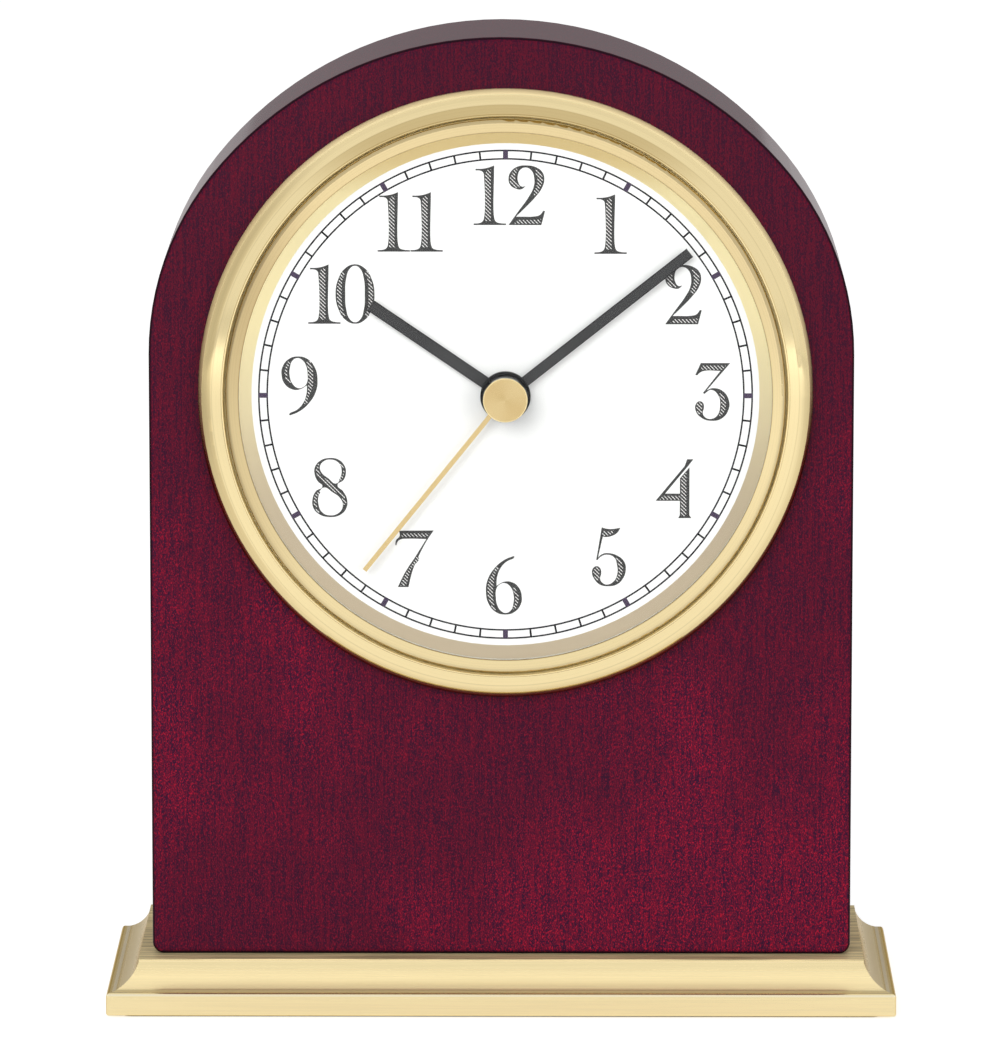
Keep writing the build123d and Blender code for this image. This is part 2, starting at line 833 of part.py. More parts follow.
def third_wheel(phase, pinion_phase):
    return wheel_on_arbor(
        (third_teeth, going_module, phase),
        (third_front, third_back),
        (third_pinion_teeth, centre_module, pinion_phase),
        (centre_front - pinion_overlap, third_front),
        third_at,
    )


def intermediate_wheel(phase, pinion_phase):
    return wheel_on_arbor(
        (intermediate_teeth, rotor_module, phase),
        (intermediate_front, intermediate_back),
        (intermediate_pinion_teeth, going_module, pinion_phase),
        (second_front - pinion_overlap, intermediate_front),
        intermediate_at,
    )


def centre_wheel(phase):
    """Wheel that turns once an hour; its hub meets the minute pinion in a slipping clutch."""
    wheel = slab(gear_face(centre_teeth, centre_module, phase), centre_front, centre_back)
    hub = rod(centre_hub_radius, cannon_back + running_gap, centre_front)
    bore = rod(second_arbor_radius + running_gap, cannon_back, centre_back + cut_overrun)
    return wheel + hub - bore


def rotor_pinion(phase):
    face = gear_face(rotor_pinion_teeth, rotor_module, phase)
    pinion = slab(face, intermediate_front - pinion_overlap, intermediate_back + pinion_overlap, rotor_at)
    return pinion + rod(pivot_radius, middle_back - pivot_depth, back_plate_front + pivot_depth, rotor_at)


def rotor_magnet():
    return ring(pivot_radius + fit_gap / 2, magnet_radius, magnet_front, magnet_back, rotor_at)


def stator():
    """Soft iron yoke round the rotor, with an arm up to each end of the coil's core."""
    bar_middle = rotor_at[1]
    arm_top = coil_z + core_width
    bar = Pos(0, bar_middle) * Rectangle(2 * stator_half_length, 2 * stator_half_height)
    for side in (-1, 1):
        height = arm_top - bar_middle
        x = side * (stator_half_length - stator_arm_width / 2)
        bar += Pos(x, bar_middle + height / 2) * Rectangle(stator_arm_width, height)
    bar -= Pos(*rotor_at) * Circle(rotor_hole)
    return slab(bar, stator_front, stator_back)


def coil_core():
    core = Pos(0, coil_z) * Rectangle(2 * stator_half_length, core_width)
    return slab(core, stator_front - core_thickness, stator_front)


def along_x(section, length):
    """Piece along X, centred on the coil's core, from a section drawn as Y and Z."""
    middle = (dial_x, wood_front + stator_front - core_thickness / 2, dial_z + coil_z)
    plane = Plane(origin=middle, x_dir=(0, 1, 0), z_dir=(1, 0, 0))
    return extrude(plane * section, amount=length / 2, both=True)


def bobbin_tube():
    return Rectangle(
        core_thickness + 2 * (fit_gap + bobbin_tube_wall), core_width + 2 * (fit_gap + bobbin_tube_wall)
    )


def coil_bobbin():
    """Plastic spool with a flange at each end and a slot for the core."""
    spool = along_x(Circle(coil_radius), coil_length)
    spool -= along_x(Circle(coil_radius + cut_overrun), coil_length - 2 * bobbin_flange)
    spool += along_x(bobbin_tube(), coil_length)
    slot = Rectangle(core_thickness + 2 * fit_gap, core_width + 2 * fit_gap)
    return spool - along_x(slot, coil_length + cut_overrun)


def coil_winding():
    winding = Circle(coil_radius - bobbin_tube_wall) - bobbin_tube()
    return along_x(winding, coil_length - 2 * bobbin_flange)


def middle_plate():
    """Plate between the motion work and the train, clamped by the posts, with stator pillars."""
    width = 2 * (shell_half_width - shell_wall - loose_gap)
    top = shell_top - shell_wall - loose_gap
    bottom = partition_top + loose_gap
    sheet = Pos(0, (top + bottom) / 2) * Rectangle(width, top - bottom)
    for at in (motion_at, third_at, intermediate_at, rotor_at):
        sheet -= Pos(*at) * Circle(pivot_radius + running_gap)
    sheet -= Circle(centre_hub_radius + running_gap)
    sheet -= Pos(*setting_at) * Circle(setting_arbor_radius + running_gap)
    for place in post_places:
        sheet -= Pos(*place) * Circle(shell_screw_radius + loose_gap)
    plate = slab(sheet, middle_front, middle_back)
    for side in (-1, 1):
        place = (side * (stator_half_length - pillar_inset), rotor_at[1])
        plate += rod(pillar_radius, middle_back, stator_front, place)
    return plate


def shell_outline(bottom, inset):
    width = 2 * (shell_half_width - inset)
    top = shell_top - inset
    corner = shell_corner - inset / 2
    return Pos(0, (top + bottom) / 2) * RectangleRounded(width, top - bottom, corner)


def movement_front_shell():
    """Tray with the spigot for the hands, four posts, and the higher walls of the battery bay."""
    body = slab(shell_outline(shell_bottom, 0), shell_front, shell_split)
    bay_outer = Pos(0, (bay_top + shell_bottom) / 2) * Rectangle(
        2 * shell_half_width, bay_top - shell_bottom
    )
    body += slab(bay_outer, shell_split, shell_split + battery_wall_extra) & slab(
        shell_outline(shell_bottom, 0), shell_split, shell_split + battery_wall_extra
    )
    room = Pos(0, (shell_top - shell_wall + partition_top) / 2) * Rectangle(
        2 * (shell_half_width - shell_wall), shell_top - shell_wall - partition_top
    )
    body -= slab(room, plate_back, shell_split + cut_overrun)
    bay = Pos(0, (bay_top + bay_bottom) / 2) * Rectangle(bay_length, bay_height)
    body -= slab(bay, plate_back, shell_split + battery_wall_extra + cut_overrun)
    over_bay = Pos(0, bay_top) * Rectangle(bay_length, 2 * loose_gap)
    body -= slab(over_bay, shell_split, shell_split + battery_wall_extra + cut_overrun)
    for place in post_places:
        body += rod(post_radius, shell_front, middle_front, place)
    body += rod(spigot_radius(), dial_front - spigot_proud, shell_front)
    body -= rod(hour_tube_radius + running_gap, dial_front - cut_overrun, plate_back + cut_overrun)
    for at in (motion_at, setting_at):
        body -= rod(pivot_radius + running_gap, plate_back - pivot_depth - fit_gap, plate_back, at)
    for place in post_places:
        hole = shell_screw_radius + loose_gap
        body -= rod(hole, shell_front - cut_overrun, middle_front + cut_overrun, place)
    return body


def movement_back_shell():
    """Cover over the train, above the battery bay, with posts that clamp the middle plate."""
    body = slab(shell_outline(bay_top, 0), shell_split, shell_back)
    room = Pos(0, (shell_top - shell_wall + partition_top) / 2) * Rectangle(
        2 * (shell_half_width - shell_wall), shell_top - shell_wall - partition_top
    )
    body -= slab(room, shell_split - cut_overrun, back_plate_front)
    for place in post_places:
        body += rod(post_radius, middle_back, back_plate_front, place)
        hole = shell_screw_radius + loose_gap
        body -= rod(hole, middle_back - cut_overrun, shell_back + cut_overrun, place)
    pivot_end = back_plate_front + pivot_depth + fit_gap
    for at in (centre_at, third_at, intermediate_at, rotor_at):
        body -= rod(pivot_radius + running_gap, back_plate_front, pivot_end, at)
    setting_hole = setting_arbor_radius + running_gap
    body -= rod(setting_hole, back_plate_front, shell_back + cut_overrun, setting_at)
    return body


def shell_screws():
    """Four screws through both shells into the housing's front wall."""
    screws = []
    for place in post_places:
        head_back = shell_back + shell_screw_head_height
        head = rod(shell_screw_head_radius, shell_back, head_back, place)
        shank = rod(shell_screw_radius, dial_back + shell_screw_end_gap + fit_gap, shell_back, place)
        slot = Pos(*place) * Rectangle(2 * shell_screw_head_radius + cut_overrun, slot_width / 2)
        slot_front = head_back - shell_screw_head_height * slot_depth_share
        screws.append(head + shank - slab(slot, slot_front, head_back + cut_overrun))
    return screws


def battery_middle():
    return (wood_front + plate_back + battery_radius + battery_clearance, dial_z + battery_z)


def lying_rod(radius, start, end):
    """Round bar along X on the battery's axis."""
    y, z = battery_middle()
    plane = Plane(origin=(dial_x + start, y, z), x_dir=(0, 1, 0), z_dir=(1, 0, 0))
    return extrude(plane * Circle(radius), amount=end - start)


def battery():
    """Penlight cell: its nub touches the positive contact, its base rests on the spring."""
    nub_end = bay_length / 2 - contact_thickness
    shoulder = nub_end - battery_nub_length
    return lying_rod(battery_radius, shoulder - battery_length, shoulder) + lying_rod(
        battery_nub_radius, shoulder, nub_end
    )


def positive_contact():
    y, z = battery_middle()
    x = dial_x + bay_length / 2 - contact_thickness / 2
    return Pos(x, y, z) * Box(contact_thickness, contact_width, contact_width)


def negative_contact():
    """Plate on the end wall with a bent leaf that presses on the cell's base."""
    y, z = battery_middle()
    wall = -bay_length / 2
    cell = wall + contact_thickness + contact_spring_room
    low = -contact_width / 2
    high = contact_width / 2
    points = [
        (wall, low),
        (wall + contact_thickness, low),
        (wall + contact_thickness, high - contact_thickness),
        (cell - contact_thickness, 0),
        (cell - contact_thickness, low / 2),
        (cell, low / 2),
        (cell, contact_thickness),
        (wall + contact_thickness, high),
        (wall, high),
        (wall, low),
    ]
    face = make_face(Polyline(*points))
    plane = Plane(origin=(dial_x, y, z), x_dir=(1, 0, 0), z_dir=(0, -1, 0))
    return extrude(plane * face, amount=contact_width / 2, both=True)


def board_middle():
    return (-(shell_half_width - shell_wall - loose_gap - board_width / 2), board_centre_z)


def circuit_board():
    board = Pos(*board_middle()) * Rectangle(board_width, board_height)
    return slab(board, middle_back, middle_back + board_thickness)


def driver_chip():
    x, z = board_middle()
    chip = Pos(x, z - chip_size) * RectangleRounded(chip_size, chip_size, chip_size / 4)
    front = middle_back + board_thickness
    return slab(chip, front, front + chip_height)


def quartz_can():
    """Sealed can of the quartz resonator, lying on the board."""
    x, z = board_middle()
    y = wood_front + middle_back + board_thickness + can_radius
    return Pos(dial_x + x, y, dial_z + z + can_length) * Cylinder(can_radius, can_length)


def build_model():
    """All pieces by node name."""
    motion_phase = meshing_phase(cannon_teeth, 0, centre_at, motion_teeth, motion_at)
    hour_phase = meshing_phase(motion_pinion_teeth, 0, motion_at, hour_teeth, centre_at)
    setting_phase = meshing_phase(motion_teeth, motion_phase, motion_at, setting_teeth, setting_at)
    third_phase = meshing_phase(second_pinion_teeth, 0, centre_at, third_teeth, third_at)
    centre_phase = meshing_phase(third_pinion_teeth, 0, third_at, centre_teeth, centre_at)
    intermediate_phase = meshing_phase(
        second_teeth, 0, centre_at, intermediate_pinion_teeth, intermediate_at
    )
    rotor_phase = meshing_phase(intermediate_teeth, 0, intermediate_at, rotor_pinion_teeth, rotor_at)
    return {
        "wood_case": wood_case(),
        "base_plinth": base_plinth(),
        "base_screws": base_screws(),
        "base_washers": base_washers(),
        "felt_pad": felt_sheet(0),
        "bezel_outer_ring": bezel_outer_ring(),
        "bezel_inner_ring": bezel_inner_ring(),
        "crystal": crystal(),
        "crystal_gasket": crystal_gasket(),
        "reflector_ring": reflector_ring(),
        "dial_plate": dial_plate(),
        "insert_housing": insert_housing(),
        "grip_band": grip_band(),
        "rear_cover": rear_cover(),
        "hour_hand": hour_hand(),
        "minute_hand": minute_hand(),
        "second_hand": second_hand(),
        "second_hand_cap": second_hand_cap(),
        "hour_wheel": hour_wheel(hour_phase),
        "cannon_pinion": cannon_pinion(0),
        "motion_wheel": motion_wheel(motion_phase, 0),
        "setting_arbor": setting_arbor(setting_phase),
        "setting_knob": setting_knob(),
        "centre_wheel": centre_wheel(centre_phase),
        "third_wheel": third_wheel(third_phase, 0),
        "second_wheel": second_wheel(0, 0),
        "intermediate_wheel": intermediate_wheel(0, intermediate_phase),
        "rotor_pinion": rotor_pinion(rotor_phase),
        "rotor_magnet": rotor_magnet(),
        "stator": stator(),
        "coil_core": coil_core(),
        "coil_bobbin": coil_bobbin(),
        "coil_winding": coil_winding(),
        "circuit_board": circuit_board(),
        "driver_chip": driver_chip(),
        "quartz_can": quartz_can(),
        "middle_plate": middle_plate(),
        "movement_front_shell": movement_front_shell(),
        "movement_back_shell": movement_back_shell(),
        "shell_screws": shell_screws(),
        "battery": battery(),
        "positive_contact": positive_contact(),
        "negative_contact": negative_contact(),
    }


def main():
    os.makedirs("parts", exist_ok=True)
    for name, piece in build_model().items():
        solids = piece if isinstance(piece, list) else [piece]
        group = Compound(children=[solid for item in solids for solid in item.solids()])
        export_step(group, f"parts/{name}.step")


main()
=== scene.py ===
"""Finishes, dial markings and studio for an arched desk clock on a moulded metal base.

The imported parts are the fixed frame. Everything made here is in metres, in their frame:
+X to the right of the dial, +Y to the back, +Z up, with the table at zero height.
"""

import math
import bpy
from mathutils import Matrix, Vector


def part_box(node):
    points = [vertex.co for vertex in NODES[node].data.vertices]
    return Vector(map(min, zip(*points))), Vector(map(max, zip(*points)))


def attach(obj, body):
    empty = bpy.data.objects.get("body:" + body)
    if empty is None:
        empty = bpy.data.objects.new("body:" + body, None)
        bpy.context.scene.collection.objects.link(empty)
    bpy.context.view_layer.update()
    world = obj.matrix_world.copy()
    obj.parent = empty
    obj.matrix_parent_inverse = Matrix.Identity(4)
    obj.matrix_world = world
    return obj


bl_info = {
    "name": "Arched Desk Clock Finishes",
    "version": (1, 0, 0),
    "blender": (4, 5, 0),
    "location": "3D View > Sidebar > Desk Clock",
    "description": "Finishes, dial markings and studio for an arched wooden desk clock",
    "category": "Object",
}

import bmesh
import bpy
from mathutils import Matrix, Vector

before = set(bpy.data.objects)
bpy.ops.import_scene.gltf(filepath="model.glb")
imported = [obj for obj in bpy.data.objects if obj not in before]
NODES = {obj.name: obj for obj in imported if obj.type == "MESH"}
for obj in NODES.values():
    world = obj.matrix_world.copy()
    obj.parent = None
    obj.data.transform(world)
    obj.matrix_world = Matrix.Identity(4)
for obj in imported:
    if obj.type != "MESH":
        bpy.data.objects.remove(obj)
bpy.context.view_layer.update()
MM = 0.001

DIAL_LOW, DIAL_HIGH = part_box("dial_plate")
DIAL_CENTRE = Vector(((DIAL_LOW.x + DIAL_HIGH.x) / 2, DIAL_LOW.y, (DIAL_LOW.z + DIAL_HIGH.z) / 2))
WOOD_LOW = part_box("wood_case")[0]
BASE_LOW, BASE_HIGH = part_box("base_plinth")
RING_LOW, RING_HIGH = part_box("bezel_outer_ring")

# Edges that the finishes follow. The bezel's facets cut its radius short, so it is rounded
BEZEL_SLOPE_WIDTH = 2.7 * MM
BEZEL_BAND_WIDTH = 4.9 * MM
GROOVE_GAP = 0.45 * MM
LENS_RING_WALL = 1.95 * MM
PLINTH_HEIGHT = 4.4 * MM
CAP_RADIUS = 4.25 * MM
HUB_RADIUS = 4.8 * MM
BEZEL_RADIUS = round((RING_HIGH.x - RING_LOW.x) / 2, 4)
BEZEL_CREASE = BEZEL_RADIUS - BEZEL_SLOPE_WIDTH
BEZEL_BORE = BEZEL_RADIUS - BEZEL_BAND_WIDTH
LENS_RING_RADIUS = BEZEL_BORE - GROOVE_GAP
LENS_RING_BORE = LENS_RING_RADIUS - LENS_RING_WALL
LEDGE = BASE_LOW.z + PLINTH_HEIGHT

# Each hand's width, and where it points at rest, in degrees clockwise from twelve
HOUR_HAND_WIDTH, HOUR_HAND_ANGLE = 2.3 * MM, 304.3
MINUTE_HAND_WIDTH, MINUTE_HAND_ANGLE = 2.0 * MM, 51.65


def linear(red, green, blue):
    """A colour written as it shows on screen, 0 to 255, as the numbers the shaders use."""
    def one(level):
        level /= 255
        return level / 12.92 if level <= 0.04045 else ((level + 0.055) / 1.055) ** 2.4
    return one(red), one(green), one(blue)


# Settings that a user would change


class ClockSizes(bpy.types.PropertyGroup):
    """Sizes of the markings printed on the dial"""

    track_outer: bpy.props.FloatProperty(
        name="Track outer radius", description="Outer line of the minute track",
        default=47.1 * MM, min=0.0, unit="LENGTH", precision=5)
    track_inner: bpy.props.FloatProperty(
        name="Track inner radius", description="Inner line of the minute track",
        default=45.5 * MM, min=0.0, unit="LENGTH", precision=5)
    track_line: bpy.props.FloatProperty(
        name="Track line", description="Thickness of the two round lines",
        default=0.31 * MM, min=0.0, unit="LENGTH", precision=5)
    minute_bar: bpy.props.FloatProperty(
        name="Minute bar", description="Width of a bar between the two lines",
        default=0.36 * MM, min=0.0, unit="LENGTH", precision=5)
    hour_bar: bpy.props.FloatProperty(
        name="Hour bar", description="Width of the bar at each hour",
        default=0.95 * MM, min=0.0, unit="LENGTH", precision=5)
    ink: bpy.props.FloatProperty(
        name="Ink", description="How far the print stands off the dial",
        default=0.02 * MM, min=0.0, unit="LENGTH", precision=6)
    hatch_pitch: bpy.props.FloatProperty(
        name="Hatch pitch", description="Distance between the fine lines in a numeral",
        default=0.50 * MM, min=0.0, unit="LENGTH", precision=6)


def colour_setting(name, description, default):
    return bpy.props.FloatVectorProperty(
        name=name, description=description, subtype="COLOR", size=3, min=0.0, max=1.0, default=default)


class ClockColours(bpy.types.PropertyGroup):
    """Colours of the finishes that show"""

    wood_dark: colour_setting("Wood pores", "Bluish dark stain in the pores", linear(44, 16, 46))
    wood_mid: colour_setting("Wood", "Stain where the wood is reddest", linear(106, 15, 44))
    wood_shade: colour_setting("Wood shade", "Even stain over the upper part", linear(58, 13, 29))
    wood_red: colour_setting("Wood fleck", "Red flecks that show through the stain", linear(174, 21, 46))
    gold: colour_setting("Gold", "Plated metal of the base and the bezel", (0.93, 0.775, 0.435))
    gold_edge: colour_setting("Gold edge", "What the plate turns to at a grazing view", (0.62, 0.48, 0.24))
    # The reflector's three colours are painted reflections, set by height round the dial
    reflector_high: colour_setting("Reflector", "Slope round the dial, upper half", linear(255, 240, 186))
    reflector_top: colour_setting("Reflector top", "Slope round the dial, at twelve", linear(224, 196, 134))
    reflector_low: colour_setting("Reflector low", "Slope round the dial, lower half", linear(214, 197, 168))
    gold_satin: colour_setting("Satin gold", "Second hand and its cap", (0.70, 0.505, 0.225))
    dial: colour_setting("Dial", "Painted face of the dial", (0.965, 0.965, 0.96))
    ink_grey: colour_setting("Numeral ink", "Solid parts of the numerals", linear(62, 62, 62))
    ink_black: colour_setting("Track ink", "Lines of the minute track", linear(14, 12, 20))
    ink_plum: colour_setting("Hour bar ink", "Bars at the hours", linear(72, 60, 82))
    hand_grey: colour_setting("Hands", "Painted hour and minute hands", linear(63, 63, 64))


# Shader maths


class Signal:
    """A number on a socket. Arithmetic on it adds Math nodes."""

    def __init__(self, board, socket):
        self.board, self.socket = board, socket

    def maths(self, operation, first, second=0.0):
        return self.board.add("ShaderNodeMath", {"operation": operation}, {0: first, 1: second})

    def __add__(self, other):
        return self.maths("ADD", self, other)

    def __radd__(self, other):
        return self.maths("ADD", other, self)

    def __sub__(self, other):
        return self.maths("SUBTRACT", self, other)

    def __rsub__(self, other):
        return self.maths("SUBTRACT", other, self)

    def __mul__(self, other):
        return self.maths("MULTIPLY", self, other)

    def __rmul__(self, other):
        return self.maths("MULTIPLY", other, self)

    def __truediv__(self, other):
        return self.maths("DIVIDE", self, other)

    def __rtruediv__(self, other):
        return self.maths("DIVIDE", other, self)

    def __pow__(self, other):
        return self.maths("POWER", self, other)

    def __mod__(self, other):
        return self.maths("FLOORED_MODULO", self, other)

    def __abs__(self):
        return self.maths("ABSOLUTE", self)

    def highest(self, other):
        return self.maths("MAXIMUM", self, other)

    def lowest(self, other):
        return self.maths("MINIMUM", self, other)

    def ramp(self, start, end):
        """0 at start, 1 at end, smooth in between and level outside."""
        return self.board.add(
            "ShaderNodeMapRange", {"interpolation_type": "SMOOTHSTEP"},
            {0: self, 1: start, 2: end, 3: 0.0, 4: 1.0})

    def near(self, middle, inner, outer):
        """1 within inner of the middle, 0 from outer on."""
        return abs(self - middle).ramp(outer, inner)


class Board:
    """The node tree of one material or world."""

    def __init__(self, owner):
        owner.use_nodes = True
        self.tree = owner.node_tree
        self.tree.nodes.clear()
        kind = "World" if isinstance(owner, bpy.types.World) else "Material"
        self.end = f"ShaderNodeOutput{kind}"

    def add(self, kind, settings=None, sockets=None, out=0):
        """One node: its type, its settings, then what its sockets hold. Gives one of its outputs, if any."""
        node = self.tree.nodes.new(kind)
        for name, setting in (settings or {}).items():
            setattr(node, name, setting)
        for name, given in (sockets or {}).items():
            if isinstance(given, Signal):
                self.tree.links.new(given.socket, node.inputs[name])
            else:
                node.inputs[name].default_value = given
        return Signal(self, node.outputs[out]) if node.outputs else None

    def place(self):
        """The point on the surface, in the part's frame, in metres."""
        return self.add("ShaderNodeTexCoord", out=3)

    def parts(self, vector):
        """The three numbers of a vector."""
        node = self.add("ShaderNodeSeparateXYZ", None, {0: vector}).socket.node
        return [Signal(self, output) for output in node.outputs]

    def ray(self, *kinds):
        """1 for a ray of one of these kinds, such as Camera or Glossy."""
        outputs = self.add("ShaderNodeLightPath").socket.node.outputs
        found, *others = [Signal(self, outputs[f"Is {kind} Ray"]) for kind in kinds]
        for other in others:
            found = found.highest(other)
        return found

    def stretched(self, vector, along_x, along_y, along_z):
        """A grain gets longer along an axis whose number is small."""
        factors = (along_x, along_y, along_z)
        return self.add("ShaderNodeVectorMath", {"operation": "MULTIPLY"}, {0: vector, 1: factors})

    def joined(self, x, y, z):
        return self.add("ShaderNodeCombineXYZ", None, {0: x, 1: y, 2: z})

    def grains(self, vector, scale, detail=2.0, roughness=0.5):
        """Noise with about scale grains to the metre."""
        return self.add(
            "ShaderNodeTexNoise", {"noise_dimensions": "3D"},
            {"Vector": vector, "Scale": scale, "Detail": detail, "Roughness": roughness})

    def blend(self, share, first, second):
        """The first colour where share is 0, the second where it is 1."""
        def colour(given):
            return given if isinstance(given, Signal) else (*given[:3], 1.0)
        return self.add(
            "ShaderNodeMix", {"data_type": "RGBA"}, {0: share, 6: colour(first), 7: colour(second)}, out=2)

    def bump(self, height, depth, strength=1.0):
        """A normal raised by height, which counts in steps of depth metres."""
        return self.add("ShaderNodeBump", None, {"Height": height, "Distance": depth, "Strength": strength})

    def surface(self, shader):
        """Sends a shader to the output."""
        self.add(self.end, None, {"Surface": shader})


def finish(name, colour, build=None, **fixed):
    """A material on one Principled shader. build adds what varies, as a dict of sockets."""
    made = bpy.data.materials.new(name)
    board = Board(made)
    sockets = {"Base Color": (*colour[:3], 1.0)}
    sockets.update({key.replace("_", " "): value for key, value in fixed.items()})
    if build:
        sockets.update(build(board))
    board.surface(board.add("ShaderNodeBsdfPrincipled", None, sockets))
    made.diffuse_color = (*colour[:3], 1.0)
    return made


def colours():
    """The colours that a user may have changed."""
    return bpy.context.scene.desk_clock_colours


def sizes():
    """The dial's sizes that a user may have changed."""
    return bpy.context.scene.desk_clock_sizes


def wear(node_names, material):
    """Gives carried-over parts a finish, on every slot they have."""
    for name in node_names:
        mesh = NODES[name].data
        if not mesh.materials:
            mesh.materials.append(material)
        for index in range(len(mesh.materials)):
            mesh.materials[index] = material


# Finishes


def stained_wood():
    """Dark red stain under gloss lacquer: blue-black pores and red flecks along an upright grain. Painted
    shade turns it near black along the bottom edge, as a contact shadow, and on the front arris.
    """
    tones = colours()
    # Near black for painted shade: a contact shadow along the bottom edge and a dark line on the front arris
    black = (0.003, 0.001, 0.004)
    reddest = (145.0 * MM, 60.0 * MM)
    foot = (WOOD_LOW.z + 0.9 * MM, WOOD_LOW.z + 0.2 * MM)
    arris_back = (WOOD_LOW.y + 0.75 * MM, WOOD_LOW.y + 0.35 * MM)
    arris_front = (WOOD_LOW.y + 0.04 * MM, WOOD_LOW.y + 0.16 * MM)

    def build(board):
        place = board.place()
        _, y, z = board.parts(place)
        pores = board.grains(board.stretched(place, 1.0, 1.0, 0.5), 4600.0, 3.0, 0.65)
        lines = board.grains(board.stretched(place, 1.0, 1.0, 0.04), 2600.0, 2.0, 0.6)
        speck = board.grains(board.stretched(place, 1.0, 1.0, 0.6), 4300.0, 3.0, 0.7)
        patch = board.grains(board.stretched(place, 1.0, 1.0, 0.7), 24.0, 3.0, 0.55)
        glow = (patch.ramp(0.40, 0.64) * 0.65 + 0.35) * (z.ramp(*reddest) * 0.85 + 0.15)
        fleck = speck.ramp(0.525, 0.65) * (glow * 0.85 + 0.08)
        grain = (pores * 0.62 + lines * 0.38).ramp(0.45, 0.56)
        ground = board.blend(grain, tones.wood_dark, tones.wood_mid)
        rich = board.blend(0.62 - glow * 0.45, ground, tones.wood_shade)
        # Painted shade: near black along the bottom edge where the case meets the base, and on the rounded
        # front arris
        arris = y.ramp(*arris_back) * y.ramp(*arris_front)
        edge = z.ramp(*foot).highest(arris * 0.85)
        return {
            "Base Color": board.blend(edge, board.blend(fleck, rich, tones.wood_red), black),
            "Roughness": 0.5 - fleck * 0.1,
            "Normal": board.bump(lines + pores * 0.5, 0.004 * MM, 0.4),
        }

    return finish(
        "stained_wood", tones.wood_mid, build,
        Specular_IOR_Level=0.0, Coat_Weight=0.5, Coat_Roughness=0.07, Coat_IOR=1.22)


def plated_base():
    """Gold plate: brushed along its length on the flat top, polished on the moulding. Painted shade darkens
    the cove towards each end and lies as a dark line in the crease above the plinth; a painted highlight
    runs along the plinth's top edge.
    """
    tones = colours()
    brushed = [level * 0.4 for level in tones.gold]
    # Colours for painted shade in the end coves and the crease, and for a painted highlight on the plinth's
    # top edge
    cove_shade_brown, crease_shade_brown, highlight_gold = (0.36, 0.25, 0.10), (0.26, 0.18, 0.06), (1.0, 0.93, 0.72)
    top_face = (BASE_HIGH.z - 0.3 * MM, BASE_HIGH.z - 0.05 * MM)
    cove_foot = (LEDGE + 0.05 * MM, LEDGE + 0.7 * MM)
    cove_head = (LEDGE + 4.6 * MM, LEDGE + 1.8 * MM)
    crease_line = (LEDGE + 0.15 * MM, 0.06 * MM, 0.22 * MM)
    highlight_line = (LEDGE - 0.35 * MM, 0.10 * MM, 0.28 * MM)
    mitre = (0.0, 0.25 * MM)

    def build(board):
        place = board.place()
        x, y, z = board.parts(place)
        streak = board.grains(board.stretched(place, 0.012, 1.0, 1.0), 3000.0, 3.0, 0.7)
        faint = board.grains(board.stretched(place, 0.06, 1.0, 1.0), 900.0, 2.0)
        flat_top = z.ramp(*top_face)
        hollow = z.ramp(*cove_foot) * z.ramp(*cove_head)
        crease, highlight = z.near(*crease_line), z.near(*highlight_line)
        nearer_end = (BASE_HIGH.y - abs(y)) - (BASE_HIGH.x - abs(x))
        shade = board.blend(streak.ramp(0.42, 0.56), brushed, tones.gold)
        top = board.blend(flat_top * 0.8 + 0.06, tones.gold, shade)
        # Painted shade in the end coves and the crease, and a painted highlight on the plinth's top edge
        coved = board.blend(nearer_end.ramp(*mitre) * hollow * 0.45, top, cove_shade_brown)
        creased = board.blend(crease * 0.6, coved, crease_shade_brown)
        return {
            "Base Color": board.blend(highlight * 0.6, creased, highlight_gold),
            "Metallic": 1.0 - (hollow * 0.7).highest(flat_top * 0.6).highest(crease * 0.9),
            "Roughness": 0.12 + faint * 0.05 + (flat_top * 0.30).highest(hollow * 0.15),
            "Normal": board.bump(streak * flat_top + faint * 0.03, 0.06 * MM, 0.7),
        }

    return finish("plated_base", tones.gold, build, Specular_Tint=(*tones.gold_edge, 1.0))


def dial_radius(x, z):
    """Distance from the dial's axis."""
    return ((x - DIAL_CENTRE.x) ** 2.0 + (z - DIAL_CENTRE.z) ** 2.0) ** 0.5


def lathe_lines(board, radius, y):
    """Faint round lines that the lathe leaves."""
    return board.grains(board.joined(radius, y, 0.0), 3800.0, 2.0, 0.6)


